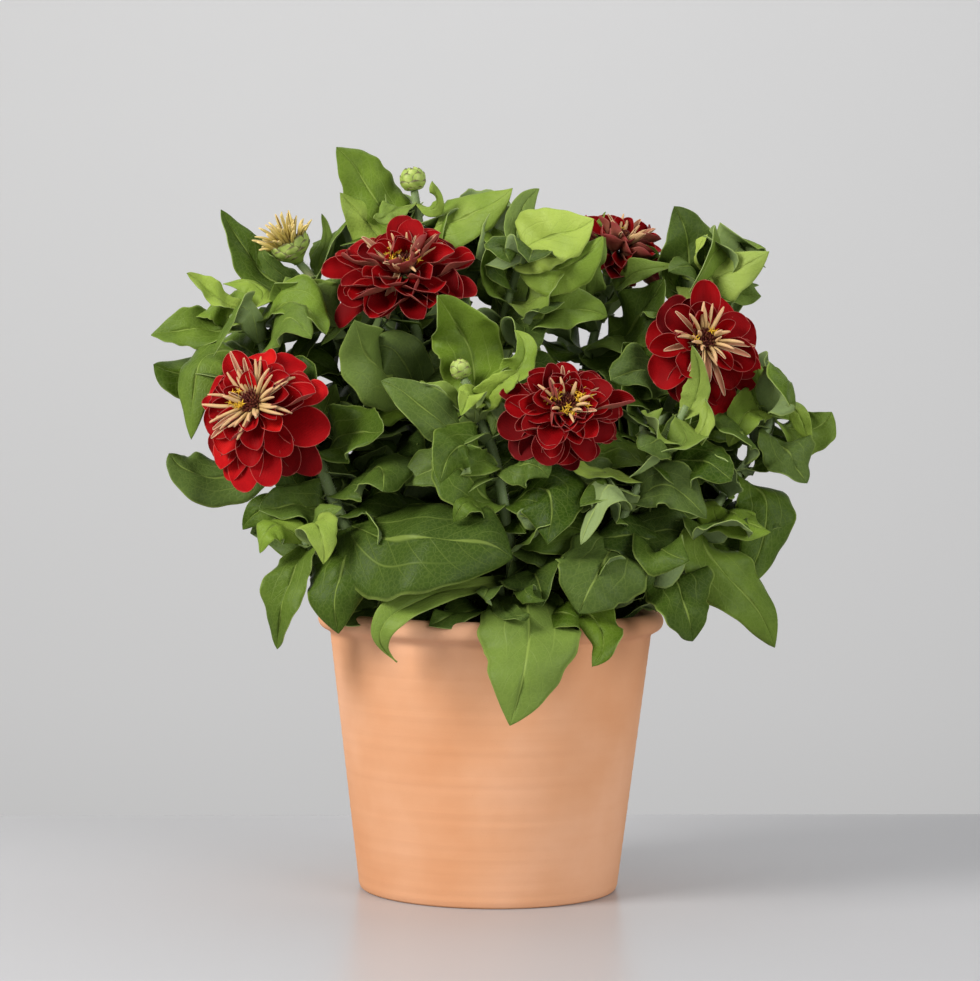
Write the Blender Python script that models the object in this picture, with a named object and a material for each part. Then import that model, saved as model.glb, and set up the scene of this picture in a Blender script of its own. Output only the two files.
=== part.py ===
"""Zinnia in a terracotta pot: three branching plants with leaves in opposite pairs, five double
blooms, a faded seed head and two round buds, standing in potting mix in a turned clay pot.

Frame: metres, +Z up, origin at the centre of the pot's base, the plant's best side towards -Y.
Lengths in the plan tables are millimetres and are multiplied by MM where they are used.
"""

import math

import bpy
import numpy as np
from mathutils import Matrix, Vector

MM = 0.001

# The pot
POT_BASE_RADIUS = 0.0646
POT_TOP_RADIUS = 0.0804
POT_RIM_RADIUS = 0.0864
POT_NECK_HEIGHT = 0.129
POT_HEIGHT = 0.1400
POT_WALL = 0.0050
POT_FLOOR = 0.0080
POT_EDGE = 0.0020
DRAIN_RADIUS = 0.0080
POT_SIDES = 36

# The potting mix and the holes that the stems are planted in
MIX_TOP = 0.1220
MIX_CROWN = 0.0020
PLANTING_DEPTH = 0.0140
PLANTING_ROOM = 0.0015
GAP = 0.0003

# Leaves and stems
LEAF_THICKNESS = 0.0006
LEAF_WIDTH_SHARE = 0.88
LEAF_FOLD = 0.16
LEAF_STATIONS = np.array([0.14, 0.34, 0.58, 0.80])
CLASP_GAP = 0.00055
COLLAR_WIDTH = 0.0022
STEM_SIDES = 6
STEM_STEP = 0.5
CALYX_HEIGHT = 0.011

# Each shoot: its root (a shoot and a point of it, or nothing for a plant's main stem), its points
# from the bottom up, and its radius at both ends. The first point of a side shoot is the parent's.
SHOOTS = {
    "left": (None, [(-26, -4, 108), (-27, -5, 126), (-44, -20, 148), (-60, -33, 166), (-71, -41, 182),
                    (-79, -40, 200), (-86, -34, 216), (-97, -28, 229), (-108, -43, 235)], 4.2, 2.2),
    "left_side": (("left", 3), [(-76, -38, 166), (-90, -56, 176)], 2.4, 1.8),
    "left_top": (("left", 2), [(-52, 0, 190), (-66, 12, 236), (-80, 18, 278), (-92, 20, 304),
                               (-99, 20, 313)], 3.0, 2.0),
    "left_far": (("left_top", 1), [(-78, -6, 208), (-98, -10, 226), (-110, -8, 252), (-117, -6, 276),
                                   (-124, -6, 292)], 2.5, 1.6),
    "middle": (None, [(2, 12, 108), (2, 12, 126), (-8, 10, 165), (-20, 8, 205), (-31, 6, 245),
                      (-38, 4, 275), (-43, -6, 295)], 4.2, 2.3),
    "crown": (("middle", 3), [(-28, 18, 250), (-35, 24, 296), (-38, 26, 330), (-41, 26, 350)], 2.8, 2.0),
    "front": (("middle", 1), [(8, -20, 142), (10, -50, 166), (6, -64, 192), (1, -62, 218),
                              (-8, -58, 240), (-14, -56, 255)], 3.2, 1.9),
    "heart": (("middle", 2), [(0, 8, 210), (3, 5, 255), (5, 3, 285), (11, 0, 308), (16, -2, 319)], 3.0, 1.6),
    "back": (("middle", 2), [(-12, 44, 195), (-22, 68, 232), (-28, 80, 262)], 2.8, 1.6),
    "right": (None, [(38, 2, 108), (38, 2, 126), (44, 0, 143), (53, -4, 165), (68, -6, 200),
                     (84, -6, 235), (95, -10, 258), (100, -25, 269)], 4.2, 2.2),
    "centre_front": (("right", 1), [(34, -22, 160), (30, -38, 196), (29, -48, 219), (32, -67, 233)], 3.2, 2.2),
    "right_front": (("right", 1), [(46, -28, 146), (56, -52, 172), (63, -60, 190), (71, -60, 206),
                                   (84, -56, 226), (93, -53, 243)], 3.0, 1.6),
    "right_low": (("right", 2), [(62, -30, 156), (82, -50, 168), (100, -45, 184), (118, -32, 206),
                                 (134, -25, 230), (139, -23, 243)], 3.0, 1.6),
    "right_back": (("right", 4), [(78, 10, 240), (92, 20, 280), (101, 24, 298), (107, 25, 309)], 2.6, 1.6),
    "top_right": (("right", 3), [(44, 18, 205), (46, 34, 250), (54, 42, 288), (58, 46, 309)], 2.8, 2.2),
    "back_right": (("right", 2), [(52, 36, 172), (66, 62, 206), (76, 78, 238)], 2.8, 1.6),
}
PLANTS = {
    "stem_left": ("left", "left_side", "left_top", "left_far"),
    "stem_middle": ("middle", "crown", "front", "heart", "back"),
    "stem_right": ("right", "centre_front", "right_front", "right_low", "right_back", "top_right",
                   "back_right"),
}

# Each bloom: the shoot it ends, the way it faces, its radius, and its number of outer petals
BLOOMS = {
    "bloom_1": ("left", (-0.36, -0.86, 0.36), 33.0, 13),
    "bloom_2": ("middle", (-0.10, -0.62, 0.78), 37.0, 14),
    "bloom_3": ("centre_front", (0.12, -0.86, 0.50), 29.5, 13),
    "bloom_4": ("right", (0.12, -0.95, 0.28), 29.0, 11),
    "bloom_5": ("top_right", (0.35, -0.35, 0.87), 27.0, 12),
}
SEED_HEAD = ("left_top", (-0.45, -0.20, 0.87))
BUDS = {"top_bud": ("crown", 6.7, 12.0), "middle_bud": ("front", 5.0, 10.0)}

# Each leaf pair: shoot, station on it, and two blades. A blade has its middle point, its tip, its
# width, and the way its upper side faces.
LEAF_PAIRS = {
    "leaf_pair_01": ("left", 4.0, ((-31, -88, 179), (11, -92, 168), 50, (0, -0.85, 0.5)),
                     ((-100, -42, 193), (-124, -46, 186), 17, (0, -0.6, 0.8))),
    "leaf_pair_02": ("left", 3.65, ((-73, -72, 162), (-73, -74, 137), 30, (-0.2, -0.9, 0.3)),
                     ((-58, -22, 202), (-52, -20, 222), 26, (0.2, -0.9, 0.3))),
    "leaf_pair_03": ("left_side", 1.8, ((-97, -66, 156), (-107, -62, 124), 20, (-0.5, -0.75, 0.4)),
                     ((-82, -76, 186), (-82, -84, 167), 15, (0, -0.9, 0.4))),
    "leaf_pair_04": ("left_top", 3.1, ((-96, 2, 292), (-106, -4, 304), 24, (-0.3, -0.9, 0.3)),
                     ((-62, 30, 296), (-46, 36, 312), 18, (0, -0.3, 1))),
    "leaf_pair_05": ("left_top", 4.0, ((-118, 24, 310), (-139, 26, 340), 19, (0.5, -0.8, 0.3)),
                     ((-86, 30, 318), (-91, 32, 337), 9, (0, -0.9, 0.3))),
    "leaf_pair_06": ("left_top", 1.6, ((-88, 24, 236), (-112, 32, 250), 20, (0, 0.3, 1)),
                     ((-46, -12, 214), (-34, -22, 216), 14, (0, -0.5, 0.8))),
    "leaf_pair_07": ("left_far", 1.9, ((-134, -26, 200), (-160, -28, 212), 20, (0, -0.6, 0.8)),
                     ((-82, -6, 238), (-72, -4, 248), 12, (0, -0.5, 0.8))),
    "leaf_pair_08": ("left_far", 3.3, ((-142, -26, 262), (-149, -32, 225), 15, (-0.7, -0.4, 0.6)),
                     ((-98, 8, 268), (-88, 16, 282), 12, (0, -0.6, 0.8))),
    "leaf_pair_09": ("left_far", 2.7, ((-142, 2, 252), (-168, 4, 261), 18, (0, -0.4, 0.9)),
                     ((-88, 10, 250), (-72, 20, 258), 12, (0, -0.4, 0.9))),
    "leaf_pair_10": ("left_far", 4.1, ((-145, -8, 278), (-169, -10, 281), 19, (0, -0.7, 0.7)),
                     ((-112, 16, 288), (-106, 32, 296), 12, (0, 0, 1))),
    "leaf_pair_11": ("left_top", 0.55, ((-76, 34, 172), (-104, 60, 160), 27, (-0.2, 0.4, 0.9)),
                     ((-26, 16, 178), (-12, 34, 178), 14, (0, 0.2, 1))),
    "leaf_pair_12": ("middle", 4.3, ((-58, -12, 262), (-75, -14, 285), 22, (0.2, -0.8, 0.5)),
                     ((-12, 12, 262), (-2, 18, 276), 13, (0, -0.3, 0.9))),
    "leaf_pair_13": ("middle", 3.85, ((-56, -14, 240), (-75, -18, 230), 15, (0, -0.5, 0.9)),
                     ((-4, -16, 236), (8, -26, 236), 13, (0, -0.2, 1))),
    "leaf_pair_14": ("crown", 3.0, ((-60, 24, 348), (-83, 24, 369), 24, (-0.3, -0.8, 0.5)),
                     ((-22, 22, 336), (4, 20, 352), 18, (0.2, -0.6, 0.8))),
    "leaf_pair_15": ("crown", 2.5, ((-60, 34, 332), (-80, 36, 347), 12, (0, -0.7, 0.7)),
                     ((-14, 36, 326), (6, 40, 338), 16, (0, -0.7, 0.7))),
    "leaf_pair_16": ("crown", 1.3, ((-48, 46, 272), (-68, 64, 284), 22, (0, 0.3, 1)),
                     ((-8, 44, 276), (8, 60, 290), 18, (0, 0.3, 1))),
    "leaf_pair_17": ("front", 1.6, ((18, -95, 131), (10, -106, 95), 38, (0, -0.9, 0.45)),
                     ((-34, -84, 148), (-56, -96, 129), 15, (0, -0.3, 0.9))),
    "leaf_pair_18": ("front", 3.1, ((-13, -79, 210), (-21, -80, 226), 26, (-0.1, -0.9, 0.4)),
                     ((26, -76, 202), (27, -86, 177), 26, (0.1, -0.8, 0.5))),
    "leaf_pair_19": ("front", 4.3, ((-28, -66, 236), (-54, -64, 244), 13, (0, -0.5, 0.85)),
                     ((8, -44, 236), (14, -30, 246), 10, (0, -0.3, 0.9))),
    "leaf_pair_20": ("front", 5.2, ((-24, -46, 268), (-27, -40, 293), 18, (0.2, -0.9, 0.3)),
                     ((4, -50, 258), (9, -46, 276), 9, (-0.3, -0.9, 0.3))),
    "leaf_pair_21": ("centre_front", 1.5, ((14, -20, 186), (-8, -18, 196), 22, (0, -0.3, 0.9)),
                     ((52, -24, 190), (66, -22, 206), 16, (0, -0.5, 0.8))),
    "leaf_pair_22": ("right_front", 1.1, ((52, -80, 142), (44, -94, 124), 20, (0.1, -0.8, 0.5)),
                     ((58, -10, 140), (76, 8, 142), 12, (0, -0.2, 1))),
    "leaf_pair_23": ("right_front", 2.5, ((51, -84, 167), (42, -92, 151), 33, (0, -0.85, 0.5)),
                     ((72, -46, 190), (84, -42, 192), 15, (0, -0.9, 0.2))),
    "leaf_pair_24": ("right_front", 4.0, ((50, -68, 212), (33, -70, 214), 12, (0, -0.4, 0.9)),
                     ((90, -48, 212), (109, -46, 221), 18, (0, -0.7, 0.6))),
    "leaf_pair_25": ("right_front", 5.6, ((99, -50, 250), (94, -60, 270), 8, (-0.3, -0.9, 0.2)),
                     ((86, -71, 223), (64, -77, 216), 16, (0.2, 0.3, 0.9))),
    "leaf_pair_26": ("right", 4.6, ((54, -12, 232), (36, -16, 246), 16, (0, -0.4, 0.9)),
                     ((104, 2, 226), (128, 8, 240), 18, (0, -0.3, 0.9))),
    "leaf_pair_27": ("back", 2.2, ((-54, 88, 238), (-80, 104, 240), 24, (0, 0.4, 0.9)),
                     ((6, 88, 244), (26, 104, 252), 22, (0, 0.4, 0.9))),
    "leaf_pair_28": ("right_low", 2.1, ((90, -74, 154), (101, -78, 132), 25, (0.1, -0.85, 0.5)),
                     ((86, -34, 192), (94, -30, 212), 12, (-0.2, -0.9, 0.2))),
    "leaf_pair_29": ("right_low", 3.05, ((114, -58, 162), (137, -56, 131), 25, (0.3, -0.8, 0.5)),
                     ((92, -14, 182), (92, 6, 180), 16, (0, 0.2, 1))),
    "leaf_pair_30": ("right_low", 3.5, ((118, -56, 188), (131, -60, 186), 20, (0, -0.7, 0.7)),
                     ((100, -18, 200), (96, 2, 206), 14, (0, 0, 1))),
    "leaf_pair_31": ("right_low", 4.1, ((139, -38, 190), (121, -46, 158), 23, (0.6, -0.6, 0.5)),
                     ((112, -8, 216), (108, 12, 220), 14, (0, 0, 1))),
    "leaf_pair_32": ("right_low", 5.0, ((144, -40, 220), (154, -44, 207), 23, (0.2, -0.8, 0.5)),
                     ((138, -6, 246), (134, -4, 262), 14, (-0.3, -0.9, 0.2))),
    "leaf_pair_33": ("right_low", 5.5, ((156, -22, 232), (167, -20, 241), 18, (0, -0.8, 0.5)),
                     ((122, -30, 241), (113, -32, 227), 10, (0.3, 0.3, 0.9))),
    "leaf_pair_34": ("right_back", 2.7, ((92, 28, 316), (86, 30, 341), 16, (0.1, -0.9, 0.3)),
                     ((118, 22, 302), (134, 22, 302), 13, (0, -0.6, 0.8))),
    "leaf_pair_35": ("back_right", 2.4, ((98, 86, 222), (122, 98, 226), 24, (0.2, 0.4, 0.9)),
                     ((56, 96, 228), (44, 108, 230), 18, (0, 0.4, 0.9))),
    "leaf_pair_36": ("right_back", 1.4, ((66, 32, 262), (58, 56, 268), 16, (0, 0.3, 1)),
                     ((108, 34, 264), (130, 46, 272), 22, (0, 0.2, 1))),
    "leaf_pair_37": ("top_right", 2.4, ((68, 14, 282), (88, 8, 303), 24, (-0.3, -0.8, 0.5)),
                     ((26, 40, 276), (10, 46, 288), 16, (0, -0.3, 0.9))),
    "leaf_pair_38": ("top_right", 1.4, ((20, 48, 226), (0, 66, 230), 23, (0, 0.4, 0.9)),
                     ((72, 50, 232), (94, 62, 240), 20, (0.1, 0.4, 0.9))),
    "leaf_pair_39": ("heart", 4.2, ((31, -6, 322), (51, -8, 333), 24, (-0.3, -0.5, 0.8)),
                     ((0, 12, 324), (-2, 16, 340), 10, (0.3, -0.8, 0.4))),
    "leaf_pair_40": ("heart", 2.8, ((32, -6, 288), (57, -8, 289), 17, (0, -0.4, 0.9)),
                     ((-12, -8, 282), (-24, -12, 278), 12, (0, -0.4, 0.9))),
    "leaf_pair_41": ("back", 1.3, ((-46, 66, 196), (-72, 86, 182), 26, (0, 0.5, 0.8)),
                     ((16, 70, 200), (34, 92, 188), 24, (0, 0.5, 0.8))),
    "leaf_pair_42": ("back_right", 1.5, ((88, 54, 178), (116, 66, 164), 26, (0.2, 0.5, 0.8)),
                     ((42, 78, 182), (28, 109, 172), 22, (0, 0.5, 0.8))),
}

GREEN = (0.075, 0.155, 0.035, 1.0)
STEM_GREEN = (0.16, 0.25, 0.07, 1.0)
PETAL_RED = (0.42, 0.008, 0.012, 1.0)
DISC_YELLOW = (0.62, 0.36, 0.05, 1.0)
HEAD_TAN = (0.62, 0.50, 0.22, 1.0)
BUD_GREEN = (0.28, 0.38, 0.12, 1.0)
CLAY = (0.66, 0.33, 0.17, 1.0)
MIX_BROWN = (0.035, 0.024, 0.016, 1.0)


def clear_scene():
    for item in list(bpy.data.objects):
        bpy.data.objects.remove(item, do_unlink=True)


def material(name, colour, roughness):
    made = bpy.data.materials.new(name)
    made.use_nodes = True
    shader = made.node_tree.nodes["Principled BSDF"]
    shader.inputs["Base Color"].default_value = colour
    shader.inputs["Roughness"].default_value = roughness
    shader.inputs["Metallic"].default_value = 0.0
    return made


def add_object(name, points, faces, finish):
    mesh = bpy.data.meshes.new(name)
    mesh.from_pydata([tuple(map(float, point)) for point in points], [], faces)
    mesh.materials.append(finish)
    mesh.update()
    made = bpy.data.objects.new(name, mesh)
    bpy.context.scene.collection.objects.link(made)
    return made


def smooth_shade(made, degrees=40.0):
    made.data.shade_smooth()
    made.data.set_sharp_from_angle(angle=math.radians(degrees))


def unit(vector):
    return vector / np.linalg.norm(vector, axis=-1, keepdims=True)


def turned(name, profile, sides, finish):
    """A closed body of revolution: the profile is a closed loop of (radius, height) points, and a
    point on the axis becomes one vertex."""
    angles = 2 * math.pi * np.arange(sides) / sides
    points = []
    rings = []
    for radius, height in profile:
        start = len(points)
        if radius == 0:
            points.append((0.0, 0.0, height))
            rings.append([start] * sides)
        else:
            points.extend((radius * math.cos(a), radius * math.sin(a), height) for a in angles)
            rings.append(list(range(start, start + sides)))
    faces = []
    for low, high in zip(rings, rings[1:] + rings[:1]):
        for i in range(sides):
            j = (i + 1) % sides
            corners = (low[i], low[j], high[j], high[i])
            face = [c for k, c in enumerate(corners) if c != corners[k - 1]]
            if len(face) > 2:
                faces.append(face)
    made = add_object(name, points, faces, finish)
    smooth_shade(made)
    return made


# Pot and potting mix


def pot_radius(height):
    """Outer radius of the pot's straight flared side at a height."""
    share = height / POT_NECK_HEIGHT
    return POT_BASE_RADIUS + share * (POT_TOP_RADIUS - POT_BASE_RADIUS)


def arc(centre, radii, start, end, steps):
    """Points of an ellipse's arc, from one angle to another in degrees."""
    angles = np.radians(np.linspace(start, end, steps))
    return [(centre[0] + radii[0] * math.cos(a), centre[1] + radii[1] * math.sin(a)) for a in angles]


def make_pot():
    """The flared clay pot: foot, side, rolled rim, inner wall, floor and drain hole, as one loop."""
    rim_centre = (POT_RIM_RADIUS - 0.0050, POT_HEIGHT - 0.0050)
    foot = arc((POT_BASE_RADIUS - POT_EDGE, POT_EDGE), (POT_EDGE, POT_EDGE), -90, 0, 4)
    neck = [(pot_radius(POT_NECK_HEIGHT), POT_NECK_HEIGHT)]
    rim = arc(rim_centre, (0.0050, 0.0050), -45, 180, 9)
    inner_top = (rim_centre[0] - 0.0050, POT_NECK_HEIGHT)
    inner_foot = (pot_radius(POT_FLOOR) - POT_WALL, POT_FLOOR)
    drain = [(DRAIN_RADIUS, POT_FLOOR), (DRAIN_RADIUS, 0.0)]
    profile = foot + neck + rim + [inner_top, inner_foot] + drain
    return turned("pot", profile, POT_SIDES, material("clay", CLAY, 0.85))


def make_potting_mix():
    """The mix fills the pot to below the rim, with a planting hole for each main stem."""
    wall_low = pot_radius(POT_FLOOR) - POT_WALL - GAP
    inner_top_radius = POT_RIM_RADIUS - 0.0100
    share = (MIX_TOP - POT_FLOOR) / (POT_NECK_HEIGHT - POT_FLOOR)
    wall_high = wall_low + share * (inner_top_radius - GAP - wall_low) - GAP
    profile = [
        (0, POT_FLOOR + GAP),
        (wall_low, POT_FLOOR + GAP),
        (wall_high, MIX_TOP - MIX_CROWN),
        (0.6 * wall_high, MIX_TOP),
        (0, MIX_TOP),
    ]
    mix = turned("potting_mix", profile, POT_SIDES, material("potting_mix", MIX_BROWN, 0.95))
    for name, (parent, points, radius, _) in SHOOTS.items():
        if parent is None:
            cut_planting_hole(mix, name, points[0], radius)


def cut_planting_hole(mix, name, point, radius):
    wide = radius * MM + PLANTING_ROOM
    low = MIX_TOP - PLANTING_DEPTH - GAP
    high = MIX_TOP + 0.004
    profile = [(0, low), (wide, low), (wide, high), (0, high)]
    hole = turned(name + "_planting_hole", profile, 16, mix.data.materials[0])
    hole.location = (point[0] * MM, point[1] * MM, 0.0)
    hide_helper(hole)
    cut = mix.modifiers.new(name + "_hole", "BOOLEAN")
    cut.operation = "DIFFERENCE"
    cut.object = hole


def hide_helper(helper):
    helper.hide_render = True
    helper.display_type = "WIRE"


# Stems


def shoot_points(name):
    """The shoot's points in metres, from its root on the parent upwards."""
    parent, points, _, _ = SHOOTS[name]
    listed = [np.array(point, float) * MM for point in points]
    if parent is None:
        return listed
    return [shoot_points(parent[0])[parent[1]]] + listed


def along(points, station):
    """The point at a station (1.5 is half way from point 1 to point 2) of the smooth curve that
    goes through all the points, a Catmull-Rom spline."""
    i = min(int(station), len(points) - 2)
    u = station - i
    before = points[i - 1] if i > 0 else 2 * points[0] - points[1]
    start, end = points[i], points[i + 1]
    after = points[i + 2] if i + 2 < len(points) else 2 * end - start
    return 0.5 * (
        2 * start
        + (end - before) * u
        + (2 * before - 5 * start + 4 * end - after) * u**2
        + (3 * start - before - 3 * end + after) * u**3
    )


def heading(points, station):
    """Unit direction of the curve at a station."""
    step = 0.02
    last = len(points) - 1
    ahead = along(points, min(station + step, last))
    return unit(ahead - along(points, max(min(station + step, last) - 2 * step, 0)))


def shoot_radius(name, station):
    _, _, low, high = SHOOTS[name]
    return (low + (high - low) * station / (len(shoot_points(name)) - 1)) * MM


def tube(name, centres, directions, radii, finish):
    """A closed tube through the centres, its rings square to the directions."""
    across = unit(np.cross(directions[0], (0.3, 0.9, 0.1)))
    points = []
    for centre, direction, radius in zip(centres, directions, radii):
        across = unit(across - direction * np.dot(across, direction))
        other = np.cross(direction, across)
        for k in range(STEM_SIDES):
            angle = 2 * math.pi * k / STEM_SIDES
            points.append(centre + radius * (math.cos(angle) * across + math.sin(angle) * other))
    faces = [list(range(STEM_SIDES))[::-1]]
    for ring in range(len(centres) - 1):
        for k in range(STEM_SIDES):
            a = ring * STEM_SIDES + k
            b = ring * STEM_SIDES + (k + 1) % STEM_SIDES
            faces.append([a, b, b + STEM_SIDES, a + STEM_SIDES])
    last = (len(centres) - 1) * STEM_SIDES
    faces.append(list(range(last, last + STEM_SIDES)))
    return add_object(name, points, faces, finish)


def head_of(shoot):
    """The way the head on a shoot faces, or None where the shoot carries no head."""
    heads = {bloom[0]: bloom[1] for bloom in BLOOMS.values()}
    heads[SEED_HEAD[0]] = SEED_HEAD[1]
    return unit(np.array(heads[shoot])) if shoot in heads else None


def make_shoot(name, finish):
    """One shoot as a tapered tube. Below a head it flares into the green cup that holds the petals."""
    points = shoot_points(name)
    last = len(points) - 1
    stations = np.arange(0, last + 0.01, STEM_STEP)
    centres = [along(points, station) for station in stations]
    directions = [heading(points, station) for station in stations]
    radii = [shoot_radius(name, station) for station in stations]
    if SHOOTS[name][0] is None:
        # the planted foot of a main stem is upright
        centres[0] = points[0] * (1, 1, 0) + np.array((0, 0, MIX_TOP - PLANTING_DEPTH))
        directions[0] = np.array((0.0, 0.0, 1.0))
    axis = head_of(name)
    if axis is not None:
        directions[-1] = axis
        for height, radius in ((0.002, 0.0055), (0.006, 0.0085), (CALYX_HEIGHT, 0.0090)):
            centres.append(points[-1] + axis * height)
            directions.append(axis)
            radii.append(radius)
    return tube(name, centres, directions, radii, finish)


def make_stems():
    """Each plant's main stem with its side shoots joined to it."""
    finish = material("stem", STEM_GREEN, 0.6)
    for plant, shoots in PLANTS.items():
        trunk = make_shoot(shoots[0], finish)
        trunk.name = plant
        for name in shoots[1:]:
            branch = make_shoot(name, finish)
            hide_helper(branch)
            join = trunk.modifiers.new(name, "BOOLEAN")
            join.operation = "UNION"
            join.object = branch


# Leaves


def leaf_outline(along_leaf):
    """Half width of a blade as a share of its widest: a broad clasping base, the widest part at
    four tenths, and a pointed tip."""
    rise = ((along_leaf + 0.12) / 0.54) ** 0.79
    fall = ((1 - along_leaf) / 0.58) ** 0.85
    return rise * fall


def blade_rows(base, up, blade):
    """Rows of three points (left margin, midrib, right margin) along a blade, and its tip. The
    midrib is the parabola through the base, the middle and the tip."""
    middle, tip, width, faces = blade
    middle = np.array(middle, float) * MM
    tip = np.array(tip, float) * MM
    faces = unit(np.array(faces, float))
    rows = []
    for t in LEAF_STATIONS:
        rib = base * (1 - t) * (1 - 2 * t) + 4 * middle * t * (1 - t) + tip * t * (2 * t - 1)
        forward = unit(base * (4 * t - 3) + middle * (4 - 8 * t) + tip * (4 * t - 1))
        turn = min(t / 0.3, 1.0)
        upper = up * (1 - turn) + faces * turn
        side = unit(np.cross(forward, upper))
        lift = np.cross(side, forward) * LEAF_FOLD
        half = 0.5 * width * MM * LEAF_WIDTH_SHARE * leaf_outline(t)
        rows.append((rib + half * (side + lift), rib, rib + half * (lift - side)))
    return rows, tip


def make_leaf_pair(name, plan, finish):
    """Two opposite blades whose bases meet in a collar round the stem, as one thin sheet."""
    shoot, station, first, second = plan
    points = shoot_points(shoot)
    node = along(points, station)
    up = heading(points, station)
    reach = np.array(first[0], float) - np.array(second[0], float)
    across = unit(reach - up * np.dot(reach, up))
    square = np.cross(across, up)
    inner = (shoot_radius(shoot, station) + CLASP_GAP) * math.sqrt(2)
    outer = inner + COLLAR_WIDTH
    vertices = [node + across * inner, node - across * inner]
    vertices += [node + square * inner, node - square * inner]
    vertices += [node + square * outer, node - square * outer]
    faces = []
    first_rows = add_blade(vertices, faces, node + across * inner, up, first, (2, 0, 3))
    second_rows = add_blade(vertices, faces, node - across * inner, up, second, (3, 1, 2))
    faces += [(first_rows[0], 2, 4), (4, 2, second_rows[2])]
    faces += [(3, first_rows[2], 5), (3, 5, second_rows[0])]
    made = add_object(name, vertices, faces, finish)
    wall = made.modifiers.new("thickness", "SOLIDIFY")
    wall.thickness = LEAF_THICKNESS
    wall.offset = 0.0
    return made


def add_blade(vertices, faces, base, up, blade, ring):
    """Adds one blade's points and faces, outwards from three points of the clasping ring, and
    returns the numbers of its first row's points."""
    rows, tip = blade_rows(base, up, blade)
    first_row = len(vertices)
    previous = ring
    for row in rows:
        start = len(vertices)
        vertices.extend(row)
        left, rib, right = start, start + 1, start + 2
        faces.append((previous[0], left, rib, previous[1]))
        faces.append((previous[1], rib, right, previous[2]))
        previous = (left, rib, right)
    vertices.append(tip)
    end = len(vertices) - 1
    faces.append((previous[0], end, previous[1]))
    faces.append((previous[1], end, previous[2]))
    return (first_row, first_row + 1, first_row + 2)


def make_leaves():
    finish = material("leaf", GREEN, 0.55)
    for name, plan in LEAF_PAIRS.items():
        make_leaf_pair(name, plan, finish)


# Heads


def facing(point, axis):
    """The matrix that stands an upright head on a point, turned to face along the axis."""
    turn = Vector((0, 0, 1)).rotation_difference(Vector(tuple(axis)))
    return Matrix.Translation(Vector(tuple(point))) @ turn.to_matrix().to_4x4()


def lobed_body(name, levels, petals, finish):
    """A closed body of stacked petal tiers. A level has a radius, a height, how deep the gaps
    between its petals are, and whether its petals stand in the gaps of the others (0.5)."""
    sides = 3 * petals
    angles = 2 * math.pi * np.arange(sides) / sides
    vertices = [(0.0, 0.0, levels[0][1])]
    for radius, height, depth, shift in levels:
        lobe = np.abs(np.cos(petals * (angles + 2 * math.pi * shift / petals) / 2)) ** 0.7
        reach = radius * (1 - depth * (1 - lobe))
        vertices.extend(zip(reach * np.cos(angles), reach * np.sin(angles), [height] * sides))
    vertices.append((0.0, 0.0, levels[-1][1]))
    faces = [(0, 1 + (i + 1) % sides, 1 + i) for i in range(sides)]
    for level in range(len(levels) - 1):
        low = 1 + level * sides
        for i in range(sides):
            j = (i + 1) % sides
            faces.append((low + i, low + j, low + sides + j, low + sides + i))
    top = 1 + (len(levels) - 1) * sides
    faces += [(top + i, top + (i + 1) % sides, len(vertices) - 1) for i in range(sides)]
    return add_object(name, vertices, faces, finish)


def make_bloom(name, plan, petal_finish, disc_finish):
    """The red petals in two tiers on the green cup, and the disc of small florets on top."""
    shoot, axis, radius, petals = plan
    axis = unit(np.array(axis))
    reach = radius * MM
    base = shoot_points(shoot)[-1]
    foot = CALYX_HEIGHT + GAP
    levels = [
        (0.0085, foot, 0.0, 0.0),
        (reach, foot + 0.0010, 0.30, 0.0),
        (reach * 0.99, foot + 0.0024, 0.30, 0.0),
        (reach * 0.42, foot + 0.0045, 0.0, 0.0),
        (reach * 0.70, foot + 0.0080, 0.30, 0.5),
        (reach * 0.68, foot + 0.0094, 0.30, 0.5),
        (0.0070, foot + 0.0094, 0.0, 0.0),
    ]
    rays = lobed_body(name + "_petals", levels, petals, petal_finish)
    rays.matrix_world = facing(base, axis)
    dome = arc((0.0, foot + 0.0097), (0.0065, 0.0050), 0, 90, 4)
    dome[-1] = (0, dome[-1][1])
    disc = turned(name + "_disc", [(0, foot + 0.0097)] + dome, 14, disc_finish)
    disc.matrix_world = facing(base, axis)


def make_seed_head():
    """The tuft of faded tubular florets standing in its cup."""
    shoot, axis = SEED_HEAD
    foot = CALYX_HEIGHT + GAP
    profile = [(0, foot), (0.0075, foot), (0.0115, foot + 0.008), (0.0120, foot + 0.013), (0, foot + 0.017)]
    head = turned("seed_head_florets", profile, 14, material("seed_head", HEAD_TAN, 0.8))
    head.matrix_world = facing(shoot_points(shoot)[-1], unit(np.array(axis)))


def make_buds():
    """Round scaly buds, flattened on top, each on the end of its shoot."""
    finish = material("bud", BUD_GREEN, 0.6)
    for name, (shoot, radius, height) in BUDS.items():
        points = shoot_points(shoot)
        half = 0.5 * height * MM
        foot = 2.0 * MM
        side = arc((0.0, GAP + half), (radius * MM, half), -60, 90, 7)
        side[-1] = (0, side[-1][1])
        profile = [(0, GAP)] + [(foot, GAP)] + side
        bud = turned(name, profile, 14, finish)
        bud.matrix_world = facing(points[-1], heading(points, len(points) - 1))


def make_blooms():
    petal_finish = material("petal", PETAL_RED, 0.6)
    disc_finish = material("disc", DISC_YELLOW, 0.7)
    for name, plan in BLOOMS.items():
        make_bloom(name, plan, petal_finish, disc_finish)


clear_scene()
make_pot()
make_potting_mix()
make_stems()
make_leaves()
make_blooms()
make_seed_head()
make_buds()
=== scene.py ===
import math

import bpy
import numpy as np
from mathutils import Matrix


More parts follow.
